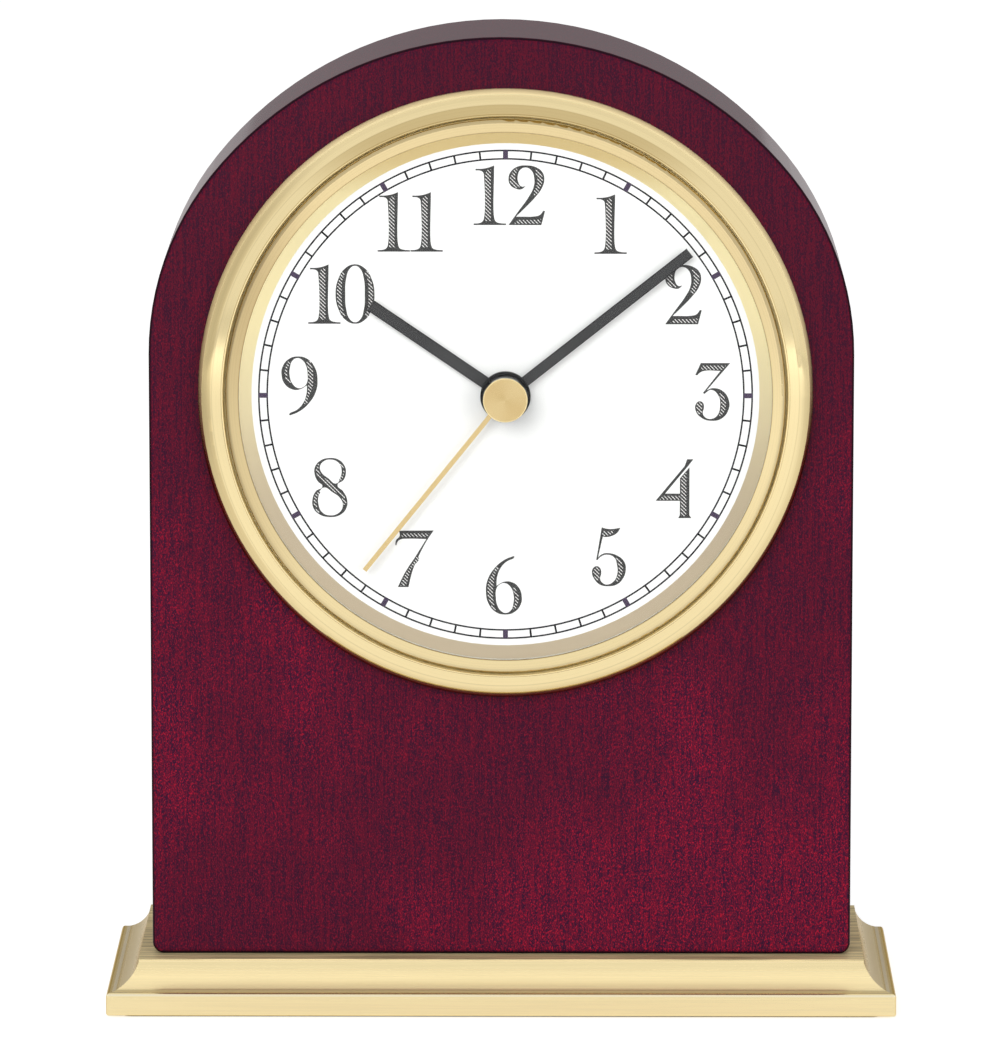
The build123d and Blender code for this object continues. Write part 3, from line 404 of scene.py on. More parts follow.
def polished_ring():
    """Gold plate turned on a lathe, with faint round lines and a deep groove. Painted shade darkens the
    bands towards the top, the left and the bottom, and draws thin dark lines at the crease, the lip and the
    lower outer edge; the groove's walls are painted paler gold, as painted light.
    """
    tones = colours()
    # Colours for painted shade on the bands and the lens ring, a brown for painted shade lines, and a pale
    # gold for painted light in the groove
    band_shade, lens_shade = (0.44, 0.30, 0.10), (0.39, 0.29, 0.145)
    shade_line_brown, groove_painted_light = (0.16, 0.10, 0.03), (1.0, 0.90, 0.60)
    lower_part, upper_part = (25.0 * MM, -15.0 * MM), (38.0 * MM, 50.0 * MM)
    left_part = (33.0 * MM, 52.0 * MM)
    lens_ring = (LENS_RING_RADIUS + 0.3 * MM, LENS_RING_RADIUS + 0.05 * MM)
    lens_shoulder = (LENS_RING_RADIUS - 1.25 * MM, LENS_RING_RADIUS - 0.15 * MM)
    lens_lip = (LENS_RING_BORE - 0.38 * MM, LENS_RING_BORE - 0.55 * MM)
    groove_depth = (4.35 * MM, 4.1 * MM)
    groove_inside = (LENS_RING_RADIUS - 0.15 * MM, LENS_RING_RADIUS - 0.03 * MM)
    groove_outside = (BEZEL_BORE + 0.07 * MM, BEZEL_BORE)
    slope_side = (BEZEL_CREASE + 0.05 * MM, BEZEL_CREASE - 0.05 * MM)
    crease_line = (BEZEL_CREASE, 0.02 * MM, 0.16 * MM)
    flank_side = (BEZEL_CREASE + 0.1 * MM, BEZEL_CREASE + 0.5 * MM)
    foot_side = (BEZEL_CREASE + 0.2 * MM, BEZEL_RADIUS - 0.8 * MM)
    outer_wall = (BEZEL_RADIUS - 1.2 * MM, BEZEL_RADIUS - 0.5 * MM)
    outer_edge = (BEZEL_RADIUS - 0.45 * MM, BEZEL_RADIUS - 0.1 * MM)

    def build(board):
        x, y, z = board.parts(board.place())
        radius = dial_radius(x, z)
        turned = lathe_lines(board, radius, y)
        cloud = board.grains(board.place(), 90.0, 2.0)
        height = z - DIAL_CENTRE.z
        low, high = height.ramp(*lower_part), height.ramp(*upper_part)
        left = (DIAL_CENTRE.x - x).ramp(*left_part)
        lens = radius.ramp(*lens_ring)
        # Painted shade: the lens ring and the bands darken by height and towards the left
        lens_dim = radius.ramp(*lens_shoulder) * low * 0.15 + left * 0.32 + 0.52 - low * 0.29
        foot, flank = radius.ramp(*foot_side) * low * 0.25, radius.ramp(*flank_side) * left * 0.32
        band_dim = (radius.ramp(*slope_side) * high * 0.46).highest(foot).highest(flank)
        dim = lens * lens_dim + (1.0 - lens) * band_dim
        # Painted shade: thin dark lines at the crease and the lip, and at the outer edge in the lower half
        crease, lip = radius.near(*crease_line) * 0.12, radius.ramp(*lens_lip) * 0.6
        edge = radius.ramp(*outer_edge) * low * 0.7
        wall = radius.ramp(*outer_wall) * (1.0 - low)
        # Painted light: the groove's walls are painted paler gold against their shade
        gap = radius.ramp(*groove_inside) * radius.ramp(*groove_outside)
        groove = (WOOD_LOW.y - y).ramp(*groove_depth) * gap
        plate = board.blend(turned * 0.2 + dim, tones.gold, board.blend(lens, band_shade, lens_shade))
        lined = board.blend(crease.highest(edge).highest(lip), plate, shade_line_brown)
        return {
            "Base Color": board.blend(groove, lined, groove_painted_light),
            "Metallic": 1.0 - groove.highest(wall) * 0.85,
            "Roughness": 0.07 + turned * 0.04 + cloud * 0.02 + groove * 0.4,
            "Normal": board.bump(turned, 0.003 * MM, 0.4),
        }

    return finish("polished_ring", tones.gold, build, Specular_Tint=(*tones.gold_edge, 1.0))


def reflector_plate():
    """Satin slope round the dial with painted reflections: pale gold above, tan at twelve, greyer below."""
    tones = colours()
    upper_half, at_twelve = (-30.0 * MM, 20.0 * MM), (36.0 * MM, 47.0 * MM)

    def build(board):
        x, y, z = board.parts(board.place())
        turned = lathe_lines(board, dial_radius(x, z), y)
        height = z - DIAL_CENTRE.z
        # Painted reflection: the colour changes with height round the dial
        upper = board.blend(height.ramp(*at_twelve) * 0.8, tones.reflector_high, tones.reflector_top)
        return {
            "Base Color": board.blend(height.ramp(*upper_half), tones.reflector_low, upper),
            "Roughness": 0.25 + turned * 0.08,
            "Normal": board.bump(turned, 0.003 * MM, 0.4),
        }

    return finish("reflector_plate", tones.reflector_high, build, Metallic=1.0)


def spun_cap():
    """Gold disc brushed outwards from its middle, on a black body. A painted reflection makes the disc
    lighter and darker by turns round its middle, and its polished rim is also painted brighter, as a painted
    highlight.
    """
    tones = colours()
    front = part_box("second_hand_cap")[0].y
    body_black = (0.008, 0.008, 0.009)
    disc_back = (front + 0.45 * MM, front + 0.55 * MM)
    disc_rim = (CAP_RADIUS - 0.3 * MM, CAP_RADIUS - 0.1 * MM)

    def build(board):
        x, y, z = board.parts(board.place())
        across, up = x - DIAL_CENTRE.x, z - DIAL_CENTRE.z
        angle = up.maths("ARCTAN2", up, across)
        rays = board.grains(board.joined(angle * 0.02, 0.0, 0.0), 1600.0, 2.0, 0.6)
        # Painted reflection: lighter towards the upper right and the lower left, darker towards the upper
        # left and the lower right
        turn = angle.maths("COSINE", angle * 2.0 - math.pi / 2)
        rim = dial_radius(x, z).ramp(*disc_rim)
        body = y.ramp(*disc_back)
        # The rim blends to plain gold as a painted highlight
        disc = board.blend(turn * 0.12 + rays * 0.65 - 0.05, tones.gold_satin, tones.gold)
        return {
            "Base Color": board.blend(body, board.blend(rim * 0.8, disc, tones.gold), body_black),
            "Metallic": 1.0 - body,
            "Roughness": 0.40 - rim * 0.2 + rays * 0.08,
        }

    return finish("spun_cap", tones.gold_satin, build)


def sweep_gold():
    """Gold wash on the second hand, a little uneven."""
    tones = colours()

    def build(board):
        fine = board.grains(board.place(), 1500.0, 2.0)
        return {
            "Base Color": board.blend(fine * 0.3 + 0.6, tones.gold, tones.gold_satin),
            "Roughness": 0.34 + fine * 0.1,
            "Normal": board.bump(fine, 0.006 * MM, 0.4),
        }

    return finish("sweep_gold", tones.gold, build, Metallic=1.0)


def painted_hand(name, clock_angle, width):
    """Dark grey paint with black edges and a black hub, on a hand that points along an angle from twelve.
    The hub is painted darkest next to the cap, as the cap's painted shadow.
    """
    tones = colours()
    turn = math.radians(clock_angle)
    lighter = [level * 1.25 for level in tones.hand_grey]
    edge_black, hub_shadow_black, hub_grey = (0.007, 0.007, 0.008), (0.006, 0.006, 0.007), (0.016, 0.016, 0.017)
    blade_edge = (width / 2 - 0.26 * MM, width / 2 - 0.12 * MM)
    hub_edge = (HUB_RADIUS + 0.15 * MM, HUB_RADIUS - 0.05 * MM)
    hub_face = (CAP_RADIUS - 0.05 * MM, HUB_RADIUS)

    def build(board):
        x, _, z = board.parts(board.place())
        across = (x - DIAL_CENTRE.x) * math.cos(turn) - (z - DIAL_CENTRE.z) * math.sin(turn)
        radius = dial_radius(x, z)
        fine = board.grains(board.place(), 2600.0, 2.0)
        paint = board.blend(fine * 0.3, tones.hand_grey, lighter)
        blade = board.blend(abs(across).ramp(*blade_edge) * 0.8, paint, edge_black)
        # Painted shadow: the hub is darkest next to the cap and greyer towards its rim
        disc = board.blend(radius.ramp(*hub_face), hub_shadow_black, hub_grey)
        return {
            "Base Color": board.blend(radius.ramp(*hub_edge), blade, disc),
            "Roughness": 0.45 + fine * 0.1,
            "Normal": board.bump(fine, 0.004 * MM, 0.4),
        }

    return finish(name, tones.hand_grey, build, Specular_IOR_Level=0.15)


def painted_dial():
    """White paint with a faint tooth."""
    tones = colours()
    duller = [level * 0.97 for level in tones.dial]

    def build(board):
        fine = board.grains(board.place(), 3500.0, 2.0)
        return {
            "Base Color": board.blend(fine * 0.25, tones.dial, duller),
            "Roughness": 0.5 + fine * 0.1,
            "Normal": board.bump(fine, 0.004 * MM, 0.4),
        }

    return finish("painted_dial", tones.dial, build, Specular_IOR_Level=0.3)


def printed_ink(name, colour):
    """Ink of one colour, a little uneven."""
    paler = [min(1.0, level * 1.3) for level in colour]

    def build(board):
        fine = board.grains(board.place(), 5200.0, 2.0)
        return {
            "Base Color": board.blend(fine * 0.4, colour, paler),
            "Roughness": 0.45 + fine * 0.12,
        }

    return finish(name, colour, build, Specular_IOR_Level=0.2)


def hatched_ink():
    """Fine crossing lines of ink with the dial's white between them."""
    tones = colours()
    spacing = sizes().hatch_pitch * math.sqrt(2)
    broad, narrow = (0.10, 0.17), (0.36, 0.42)

    def build(board):
        x, _, z = board.parts(board.place())
        fine = board.grains(board.place(), 5200.0, 2.0)
        rising, falling = [abs((way / spacing + fine * 0.05) % 1.0 - 0.5) for way in (x + z, x - z)]
        line = rising.ramp(*broad).highest(falling.ramp(*narrow) * 0.8)
        return {
            "Base Color": board.blend(line, tones.dial, tones.ink_grey),
            "Roughness": 0.45 + fine * 0.12,
        }

    return finish("hatched_ink", tones.ink_grey, build, Specular_IOR_Level=0.2)


def moulded_plastic(name, colour, roughness=0.5, grain=900.0, depth=0.03 * MM):
    """Moulded plastic with a fine spark-eroded texture."""
    paler = [min(1.0, level * 1.25 + 0.004) for level in colour]

    def build(board):
        place = board.place()
        pebble = board.grains(place, grain, 3.0, 0.6)
        cloud = board.grains(place, 45.0, 2.0)
        return {
            "Base Color": board.blend(cloud * 0.5, colour, paler),
            "Roughness": roughness + pebble * 0.15,
            "Normal": board.bump(pebble, depth, 0.6),
        }

    return finish(name, colour, build, Specular_IOR_Level=0.4)


def worked_metal(name, colour, roughness=0.3, grain=1200.0, stretch=(0.05, 1.0, 1.0)):
    """Plain metal with drawn or stamped lines."""
    darker = [level * 0.82 for level in colour]

    def build(board):
        place = board.place()
        line = board.grains(board.stretched(place, *stretch), grain, 3.0, 0.6)
        cloud = board.grains(place, 160.0, 2.0)
        return {
            "Base Color": board.blend(line * 0.4 + cloud * 0.2, colour, darker),
            "Roughness": roughness + line * 0.15,
            "Normal": board.bump(line, 0.01 * MM, 0.5),
        }

    return finish(name, colour, build, Metallic=1.0)


def pressed_felt():
    """Black wool felt with loose fibres."""
    wool, fluff = (0.012, 0.012, 0.014), (0.055, 0.055, 0.062)

    def build(board):
        place = board.place()
        fibre = board.grains(place, 1600.0, 4.0, 0.75)
        tuft = board.grains(place, 240.0, 3.0)
        return {
            "Base Color": board.blend(fibre.ramp(0.35, 0.7), wool, fluff),
            "Roughness": 0.9 + tuft * 0.08,
            "Normal": board.bump(fibre + tuft, 0.15 * MM, 0.8),
        }

    return finish("pressed_felt", (0.03, 0.03, 0.035), build, Sheen_Weight=0.3, Specular_IOR_Level=0.1)


def wound_copper():
    """Enamelled wire laid side by side along the coil, with painted shade darkening the enamel between the
    turns.
    """
    # The gap colour is painted shade where two turns of wire meet
    enamel, gap = (0.62, 0.24, 0.10), (0.28, 0.09, 0.04)
    wire_pitch = 0.12 * MM

    def build(board):
        along = board.parts(board.place())[0]
        turn = abs((along / wire_pitch) % 1.0 - 0.5) * 2.0
        fine = board.grains(board.place(), 2400.0, 2.0)
        return {
            # Painted shade: darker towards the line between two turns
            "Base Color": board.blend(turn * 0.7 + fine * 0.2, enamel, gap),
            "Roughness": 0.3 + fine * 0.1,
            "Normal": board.bump(turn, 0.06 * MM, 0.7),
        }

    return finish("wound_copper", (0.6, 0.25, 0.12), build, Metallic=0.85)


def circuit_lacquer():
    """Green board with paler copper runs under the lacquer."""
    green, copper_run = (0.012, 0.10, 0.035), (0.03, 0.22, 0.08)
    run_pitch_across, run_pitch_up = 1.6 * MM, 2.4 * MM

    def build(board):
        x, _, z = board.parts(board.place())
        across = abs((x / run_pitch_across) % 1.0 - 0.5)
        up = abs((z / run_pitch_up) % 1.0 - 0.5)
        cells = board.grains(board.place(), 320.0, 1.0).ramp(0.45, 0.55)
        run = across.lowest(up).ramp(0.14, 0.10) * cells
        return {
            "Base Color": board.blend(run, green, copper_run),
            "Roughness": 0.32 + cells * 0.06,
            "Normal": board.bump(run, 0.03 * MM, 0.6),
        }

    return finish("circuit_lacquer", (0.02, 0.15, 0.05), build, Coat_Weight=0.4)


def battery_sleeve():
    """Printed sleeve: dark with a copper band at one end, and bare metal ends."""
    low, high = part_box("battery")
    dark, copper, bare_metal = (0.012, 0.014, 0.02), (0.55, 0.27, 0.10), (0.7, 0.69, 0.65)
    band_share, bare_share, bare_low_share = (0.70, 0.705), (0.985, 0.988), (0.015, 0.012)

    def build(board):
        along = board.parts(board.place())[0]
        share = (along - low.x) / (high.x - low.x)
        band = share.ramp(*band_share)
        bare = share.ramp(*bare_share) + share.ramp(*bare_low_share)
        fine = board.grains(board.place(), 900.0, 2.0)
        return {
            "Base Color": board.blend(bare, board.blend(band, dark, copper), bare_metal),
            "Metallic": (bare + band * 0.8).lowest(1.0),
            "Roughness": 0.26 + fine * 0.08,
        }

    return finish("battery_sleeve", (0.02, 0.02, 0.03), build)


def clear_crystal():
    """Clear dome. Its low index keeps a veil off the dial, and daylight passes straight through."""
    made = bpy.data.materials.new("clear_crystal")
    board = Board(made)
    index = 1.16
    smear = board.grains(board.place(), 55.0, 2.0)
    glass = board.add("ShaderNodeBsdfPrincipled", None, {
        "Base Color": (1.0, 1.0, 1.0, 1.0), "Roughness": smear * 0.006, "IOR": index,
        "Transmission Weight": 1.0})
    clear = board.add("ShaderNodeBsdfTransparent", None, {"Color": (0.985, 0.99, 0.985, 1.0)})
    daylight = board.ray("Shadow", "Diffuse")
    board.surface(board.add("ShaderNodeMixShader", None, {0: daylight, 1: glass, 2: clear}))
    made.diffuse_color = (1.0, 1.0, 1.0, 0.2)
    return made


def pale_floor():
    """Pale paint that glows white to the eye, and less in the gloss, so that metal shows a soft floor."""
    paint = (0.72, 0.72, 0.72)
    left_side, right_side, far_off = (0.10, 0.50), (0.15, 0.60), (0.6, 1.8)

    def build(board):
        x, y, _ = board.parts(board.place())
        dull = ((0.0 - x).ramp(*left_side) * 0.33).highest(x.ramp(*right_side) * 0.16)
        far = ((x ** 2.0 + y ** 2.0) ** 0.5).ramp(*far_off)
        sheen = far * 0.06 + 0.40 - dull * (1.0 - far * 0.6)
        glow = board.ray("Camera") * 0.6 + board.ray("Glossy", "Transmission") * sheen
        return {"Emission Color": board.joined(glow, glow, glow)}

    return finish("pale_floor", paint, build, Roughness=1.0, Specular_IOR_Level=0.0, Emission_Strength=1.0)


# Meshes


def mesh_piece(name, mesh, body, materials):
    """A made piece that rides on a body and takes its finish from a slot."""
    made = bpy.data.objects.new(name, mesh)
    bpy.context.scene.collection.objects.link(made)
    for material in materials:
        mesh.materials.append(material)
    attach(made, body)
    return made


def flat_print(shape, name, contours, front, thickness, index=0):
    """Adds filled contours, in dial millimetres, to a bmesh as a thin upright plate.

    A contour is a list of (x, z) or (x, z, "corner"). Points with no mark are joined smoothly.
    The plate's face is at front, measured from the dial towards the viewer.
    """
    curve = bpy.data.curves.new(name, "CURVE")
    curve.dimensions = "2D"
    curve.fill_mode = "BOTH"
    curve.resolution_u = 8
    for contour in contours:
        line = curve.splines.new("BEZIER")
        line.bezier_points.add(len(contour) - 1)
        for point, given in zip(line.bezier_points, contour):
            kind = "VECTOR" if len(given) > 2 else "AUTO"
            point.co = (given[0] * MM, given[1] * MM, 0.0)
            point.handle_left_type = point.handle_right_type = kind
        line.use_cyclic_u = True
    curve.extrude = thickness / 2
    holder = bpy.data.objects.new(name, curve)
    bpy.context.scene.collection.objects.link(holder)
    bpy.context.view_layer.update()
    made = bpy.data.meshes.new_from_object(holder.evaluated_get(bpy.context.evaluated_depsgraph_get()))
    bpy.data.objects.remove(holder)
    bpy.data.curves.remove(curve)
    upright = Matrix.Translation(DIAL_CENTRE - Vector((0.0, front - thickness / 2, 0.0)))
    made.transform(upright @ Matrix.Rotation(math.pi / 2, 4, "X"))
    before = len(shape.faces)
    shape.from_mesh(made)
    shape.faces.ensure_lookup_table()
    for face in shape.faces[before:]:
        face.material_index = index
    bpy.data.meshes.remove(made)


def track_ring(shape, inner, outer, ink):
    """A flat round line on the dial as a closed ring with a square section."""
    steps, sides = 240, 4
    rows = []
    for step in range(steps):
        angle = 2 * math.pi * step / steps
        across, up = math.sin(angle), math.cos(angle)
        rows.append([
            shape.verts.new(DIAL_CENTRE + Vector((radius * across, -depth, radius * up)))
            for radius, depth in ((inner, 0.0), (inner, ink), (outer, ink), (outer, 0.0))])
    for here, there in zip(rows, rows[1:] + rows[:1]):
        for side in range(sides):
            ahead = (side + 1) % sides
            shape.faces.new((here[side], there[side], there[ahead], here[ahead]))


def dial_bar(shape, angle, inner, outer, width, ink):
    """One straight bar across the track, at an angle from twelve."""
    along = Vector((math.sin(angle), 0.0, math.cos(angle)))
    side = Vector((math.cos(angle), 0.0, -math.sin(angle))) * (width / 2)
    corners = []
    for depth in (0.0, ink):
        lift = Vector((0.0, -depth, 0.0))
        for radius, sign in ((inner, -1), (inner, 1), (outer, 1), (outer, -1)):
            corners.append(shape.verts.new(DIAL_CENTRE + lift + along * radius + side * sign))
    for ring in ((3, 2, 1, 0), (4, 5, 6, 7), (0, 1, 5, 4), (1, 2, 6, 5), (2, 3, 7, 6), (3, 0, 4, 7)):
        shape.faces.new([corners[corner] for corner in ring])


def settled(shape, name):
    """The bmesh as a mesh with its faces turned outwards."""
    bmesh.ops.recalc_face_normals(shape, faces=shape.faces)
    mesh = bpy.data.meshes.new(name)
    shape.to_mesh(mesh)
    shape.free()
    return mesh


# Numerals, each in its own millimetres from the lower left: outlines, then the hatched parts

C = "corner"
ONE = (
    [[(0, 0, C), (0, 0.28, C), (1.0, 0.36), (1.62, 0.62), (1.96, 1.3), (1.96, 9.3), (1.82, 10.05),
      (1.3, 10.4), (0.4, 10.46, C), (0.34, 10.76, C), (1.5, 10.76), (2.7, 10.96), (3.9, 11.4, C),
      (3.92, 1.3), (4.26, 0.62), (5.0, 0.36), (6.15, 0.28, C), (6.15, 0, C)]],
    [[(2.16, 0.8, C), (2.14, 9.6, C), (2.5, 10.5, C), (3.26, 10.7, C), (3.26, 0.8, C)]],
)
TWO = (
    [[(0.05, 0, C), (1.9, 2.6), (3.9, 5.4), (4.8, 7.2), (4.95, 8.9), (4.45, 10.4), (3.35, 11.02),
      (2.3, 10.6), (1.8, 9.4), (1.95, 8.1), (2.5, 7.4), (3.3, 7.45, C), (2.5, 6.85), (1.5, 6.95),
      (0.45, 7.6), (0.05, 8.8), (0.55, 10.3), (1.8, 11.2), (3.4, 11.42), (5.2, 11.1), (6.5, 10.1),
      (6.85, 8.7), (6.4, 7.1), (5.1, 5.3), (3.0, 3.1), (1.45, 1.6, C), (3.0, 1.6), (4.7, 1.62),
      (6.05, 1.95), (6.65, 2.75, C), (7.0, 2.7, C), (6.3, 0, C)]],
    [[(5.25, 10.55), (6.25, 9.75), (6.55, 8.7), (6.1, 7.3), (5.0, 5.75), (4.85, 6.1), (5.4, 7.6),
      (5.5, 9.1)],
     [(0.3, 8.8), (0.8, 10.0), (1.6, 10.75), (1.35, 9.5), (1.55, 8.0), (2.1, 7.2), (1.4, 7.2), (0.6, 7.8)],
     [(1.0, 0.25, C), (6.05, 0.25, C), (6.25, 1.15, C), (4.7, 0.98), (1.9, 0.98, C)]],
)
THREE = (
    [[(1.1, 11.15, C), (6.7, 11.15, C), (2.25, 5.9, C), (3.3, 6.3), (5.3, 5.75), (6.5, 3.9), (6.4, 2.1),
      (5.2, 0.5), (3.3, 0), (1.3, 0.55), (0.08, 2.2), (0.3, 3.4), (0.95, 3.78), (1.6, 3.35), (1.72, 2.5),
      (1.5, 1.5), (2.0, 0.65), (3.05, 0.36), (4.2, 0.95), (4.82, 2.9), (4.4, 5.0), (3.1, 5.98), (2.3, 5.6),
      (1.85, 5.2, C), (1.5, 5.35, C), (4.85, 9.64, C), (1.6, 9.6), (0.95, 9.3), (0.43, 8.8, C),
      (0.05, 8.85, C)]],
    [[(1.25, 10.65, C), (5.9, 10.65, C), (5.2, 9.9, C), (1.2, 9.9, C)],
     [(4.75, 5.3), (5.7, 4.3), (5.9, 3.0), (5.5, 1.6), (4.8, 0.95), (5.05, 2.3), (5.0, 3.9)],
     [(0.3, 2.6), (0.45, 3.3), (1.0, 3.5), (1.4, 3.0), (1.35, 2.2), (1.2, 1.3), (0.75, 1.4)]],
)
FOUR = (
    [[(0, 3.35, C), (5.55, 10.1, C), (6.0, 11.4, C), (7.18, 11.4, C), (6.35, 10.3, C), (1.8, 4.74, C),
      (4.64, 4.74, C), (4.64, 7.72, C), (6.46, 9.85, C), (6.46, 0.55, C), (6.85, 0, C), (4.35, 0, C),
      (4.64, 0.55, C), (4.64, 3.35, C)]],
    [[(4.82, 0.4, C), (4.82, 7.7, C), (5.85, 8.9, C), (5.85, 0.4, C)],
     [(0.75, 3.6, C), (1.35, 4.3, C), (4.7, 4.3, C), (4.7, 3.6, C)]],
)
FIVE = (
    [[(1.9, 11.45, C), (2.7, 11.2), (3.8, 11.12), (5.46, 11.37, C), (4.9, 10.45), (3.74, 9.77), (2.5, 9.58),
      (2.1, 9.68, C), (1.2, 5.62, C), (2.0, 6.25), (3.0, 6.45), (4.9, 5.95), (6.2, 4.8), (6.53, 3.4),
      (5.84, 1.3), (4.7, 0.3), (3.17, 0.02), (1.7, 0.25), (0.7, 1.1), (0.04, 2.6), (0.25, 3.5), (1.0, 3.9),
      (1.66, 3.4), (1.8, 2.5), (1.6, 1.4), (2.1, 0.62), (3.0, 0.33), (4.2, 0.95), (4.88, 2.3), (4.85, 4.1),
      (4.3, 5.6), (2.98, 6.15), (1.7, 5.75), (1.05, 5.05, C), (0.86, 5.15, C)]],
    [[(2.15, 9.95), (2.2, 10.7), (3.2, 10.6), (4.3, 10.75), (3.7, 10.15), (2.8, 9.85)],
     [(4.75, 5.6), (5.7, 4.6), (5.95, 3.3), (5.4, 1.6), (4.8, 0.95), (5.1, 2.4), (5.1, 4.2)],
     [(0.3, 2.6), (0.5, 3.4), (1.05, 3.6), (1.45, 3.1), (1.4, 2.2), (1.3, 1.2), (0.8, 1.5)]],
)
SIX = (
    [[(5.5, 11.25, C), (5.3, 11.38, C), (3.5, 10.6), (1.5, 8.8), (0.3, 6.6), (0.02, 4.6), (0.5, 2.2),
      (1.9, 0.5), (3.75, 0), (5.5, 0.5), (6.7, 2.0), (6.9, 3.5), (6.3, 5.3), (5.0, 6.3), (3.6, 6.4),
      (2.05, 5.6, C), (2.15, 7.2), (2.75, 8.9), (3.85, 10.2), (5.3, 10.92, C)],
     [(3.7, 6.12), (2.75, 5.9), (2.1, 5.2), (1.92, 3.4), (2.2, 1.8), (2.9, 0.7), (3.85, 0.3), (4.8, 0.8),
      (5.3, 2.2), (5.35, 3.7), (4.8, 5.3)]],
    [[(0.35, 5.0), (0.65, 6.7), (1.5, 8.3), (2.4, 9.4), (1.75, 7.8), (1.5, 6.0), (1.4, 3.8), (1.65, 1.7),
      (1.9, 0.9), (0.85, 2.2)],
     [(5.3, 5.2), (5.9, 4.6), (6.3, 3.4), (6.1, 2.1), (5.3, 1.0), (5.6, 2.3), (5.65, 3.8)]],
)
SEVEN = (
    [[(0.7, 10.95, C), (7.35, 11.0, C), (6.2, 9.3), (4.6, 6.3), (3.3, 3.2), (2.5, 0, C), (0.46, 0, C),
      (1.9, 2.9), (3.8, 5.85), (5.95, 9.35, C), (2.1, 9.4), (1.1, 9.3), (0.5, 8.9), (0.2, 8.1, C),
      (0, 8.15, C), (0.15, 9.1), (0.85, 9.95)]],
    [[(1.1, 10.4, C), (6.5, 10.4, C), (6.05, 9.75, C), (1.3, 9.75, C)],
     [(0.9, 0.25, C), (2.1, 2.75), (3.6, 5.0), (4.3, 5.9), (3.0, 3.4), (2.05, 0.25, C)]],
)
EIGHT = (
    [[(3.44, 11.45), (1.6, 10.95), (0.55, 9.7), (0.5, 8.2), (1.1, 6.9), (1.95, 5.95), (0.7, 5.0),
      (0.05, 3.4), (0.2, 1.8), (1.4, 0.5), (3.3, 0), (5.3, 0.4), (6.55, 1.8), (6.65, 3.5), (5.9, 5.0),
      (4.85, 6.2), (6.0, 7.2), (6.46, 8.6), (6.2, 9.95), (5.1, 11.1)],
     [(3.5, 11.15), (5.0, 10.6), (5.62, 9.3), (5.45, 7.8), (4.6, 6.5), (3.1, 7.5), (1.75, 8.7), (1.5, 9.8),
      (2.2, 10.8)],
     [(3.35, 0.32), (1.9, 0.9), (1.2, 2.4), (1.25, 4.2), (2.15, 5.7), (3.9, 4.8), (5.4, 3.6), (5.85, 2.3),
      (5.2, 0.9)]],
    [[(0.85, 9.6), (1.25, 10.3), (1.2, 9.3), (1.6, 8.3), (3.1, 7.0), (5.0, 5.5), (6.3, 3.6), (6.25, 2.4),
      (5.6, 3.8), (3.9, 5.2), (1.7, 7.0), (0.85, 8.4)],
     [(5.45, 10.3), (6.1, 9.3), (6.05, 8.2), (5.3, 7.1), (5.85, 8.3), (5.9, 9.3)],
     [(0.3, 3.3), (0.8, 4.6), (1.4, 5.1), (0.85, 3.6), (0.95, 1.8), (1.4, 0.9), (0.5, 1.9)]],
)
SIX_WIDTH, FIGURE_HEIGHT = 6.95, 11.4
NINE = (
    [[(SIX_WIDTH - x, FIGURE_HEIGHT - z, *mark) for x, z, *mark in outline] for outline in SIX[0]],
    [[(1.65, 6.2), (1.05, 6.8), (0.65, 8.0), (0.85, 9.3), (1.6, 10.4), (1.2, 9.2), (1.15, 7.7)],
     [(5.2, 10.6), (5.9, 9.3), (6.1, 7.6), (5.9, 5.4), (5.2, 3.6), (4.55, 2.2), (5.0, 4.2), (5.2, 6.4),
      (5.1, 8.6)]],
)
NOUGHT = (
    [[(3.73, 11.44), (1.9, 10.7), (0.5, 8.5), (0.02, 5.72), (0.5, 2.94), (1.9, 0.74), (3.73, 0),
      (5.56, 0.74), (6.96, 2.94), (7.44, 5.72), (6.96, 8.5), (5.56, 10.7)],
     [(3.73, 11.16), (2.75, 10.6), (2.05, 8.7), (1.87, 5.72), (2.05, 2.74), (2.75, 0.84), (3.73, 0.28),
      (4.71, 0.84), (5.41, 2.74), (5.59, 5.72), (5.41, 8.7), (4.71, 10.6)]],
    [[(0.26, 5.72), (0.7, 8.4), (1.6, 10.1), (1.3, 8.3), (1.15, 5.72), (1.3, 3.14), (1.6, 1.34),
      (0.7, 3.04)],
     [(6.3, 5.72), (6.15, 8.4), (5.85, 10.1), (6.75, 8.4), (7.2, 5.72), (6.75, 3.04), (5.85, 1.34),
      (6.15, 3.04)]],
)

# Each hour: its numerals with the place of their lower left corners, in millimetres from the dial's middle
HOURS = {
    1: ((ONE, 16.94, 27.30),),
    2: ((TWO, 30.40, 13.77),),
    3: ((THREE, 36.17, -4.85),),
    4: ((FOUR, 28.73, -23.70),),
    5: ((FIVE, 16.54, -36.97),),
    6: ((SIX, -3.77, -42.50),),
    7: ((SEVEN, -21.10, -37.16),),
    8: ((EIGHT, -36.98, -23.56),),
    9: ((NINE, -42.80, -3.89),),
    10: ((ONE, -37.60, 13.82), (NOUGHT, -32.40, 13.82)),
    11: ((ONE, -24.35, 27.70), (ONE, -18.09, 27.70)),
    12: ((ONE, -6.06, 32.82), (TWO, 0.52, 32.82)),
}


def shifted(contours, right, up):
    """Contours moved to their place on the dial."""
    return [[(x + right, z + up, *mark) for x, z, *mark in contour] for contour in contours]


# Operators


class DressCase(bpy.types.Operator):
    """Stain and lacquer the wooden case, and felt its base"""

    bl_idname = "desk_clock.dress_case"
    bl_label = "Case"

    def execute(self, context):
        wear(["wood_case"], stained_wood())
        wear(["felt_pad"], pressed_felt())
        return {"FINISHED"}


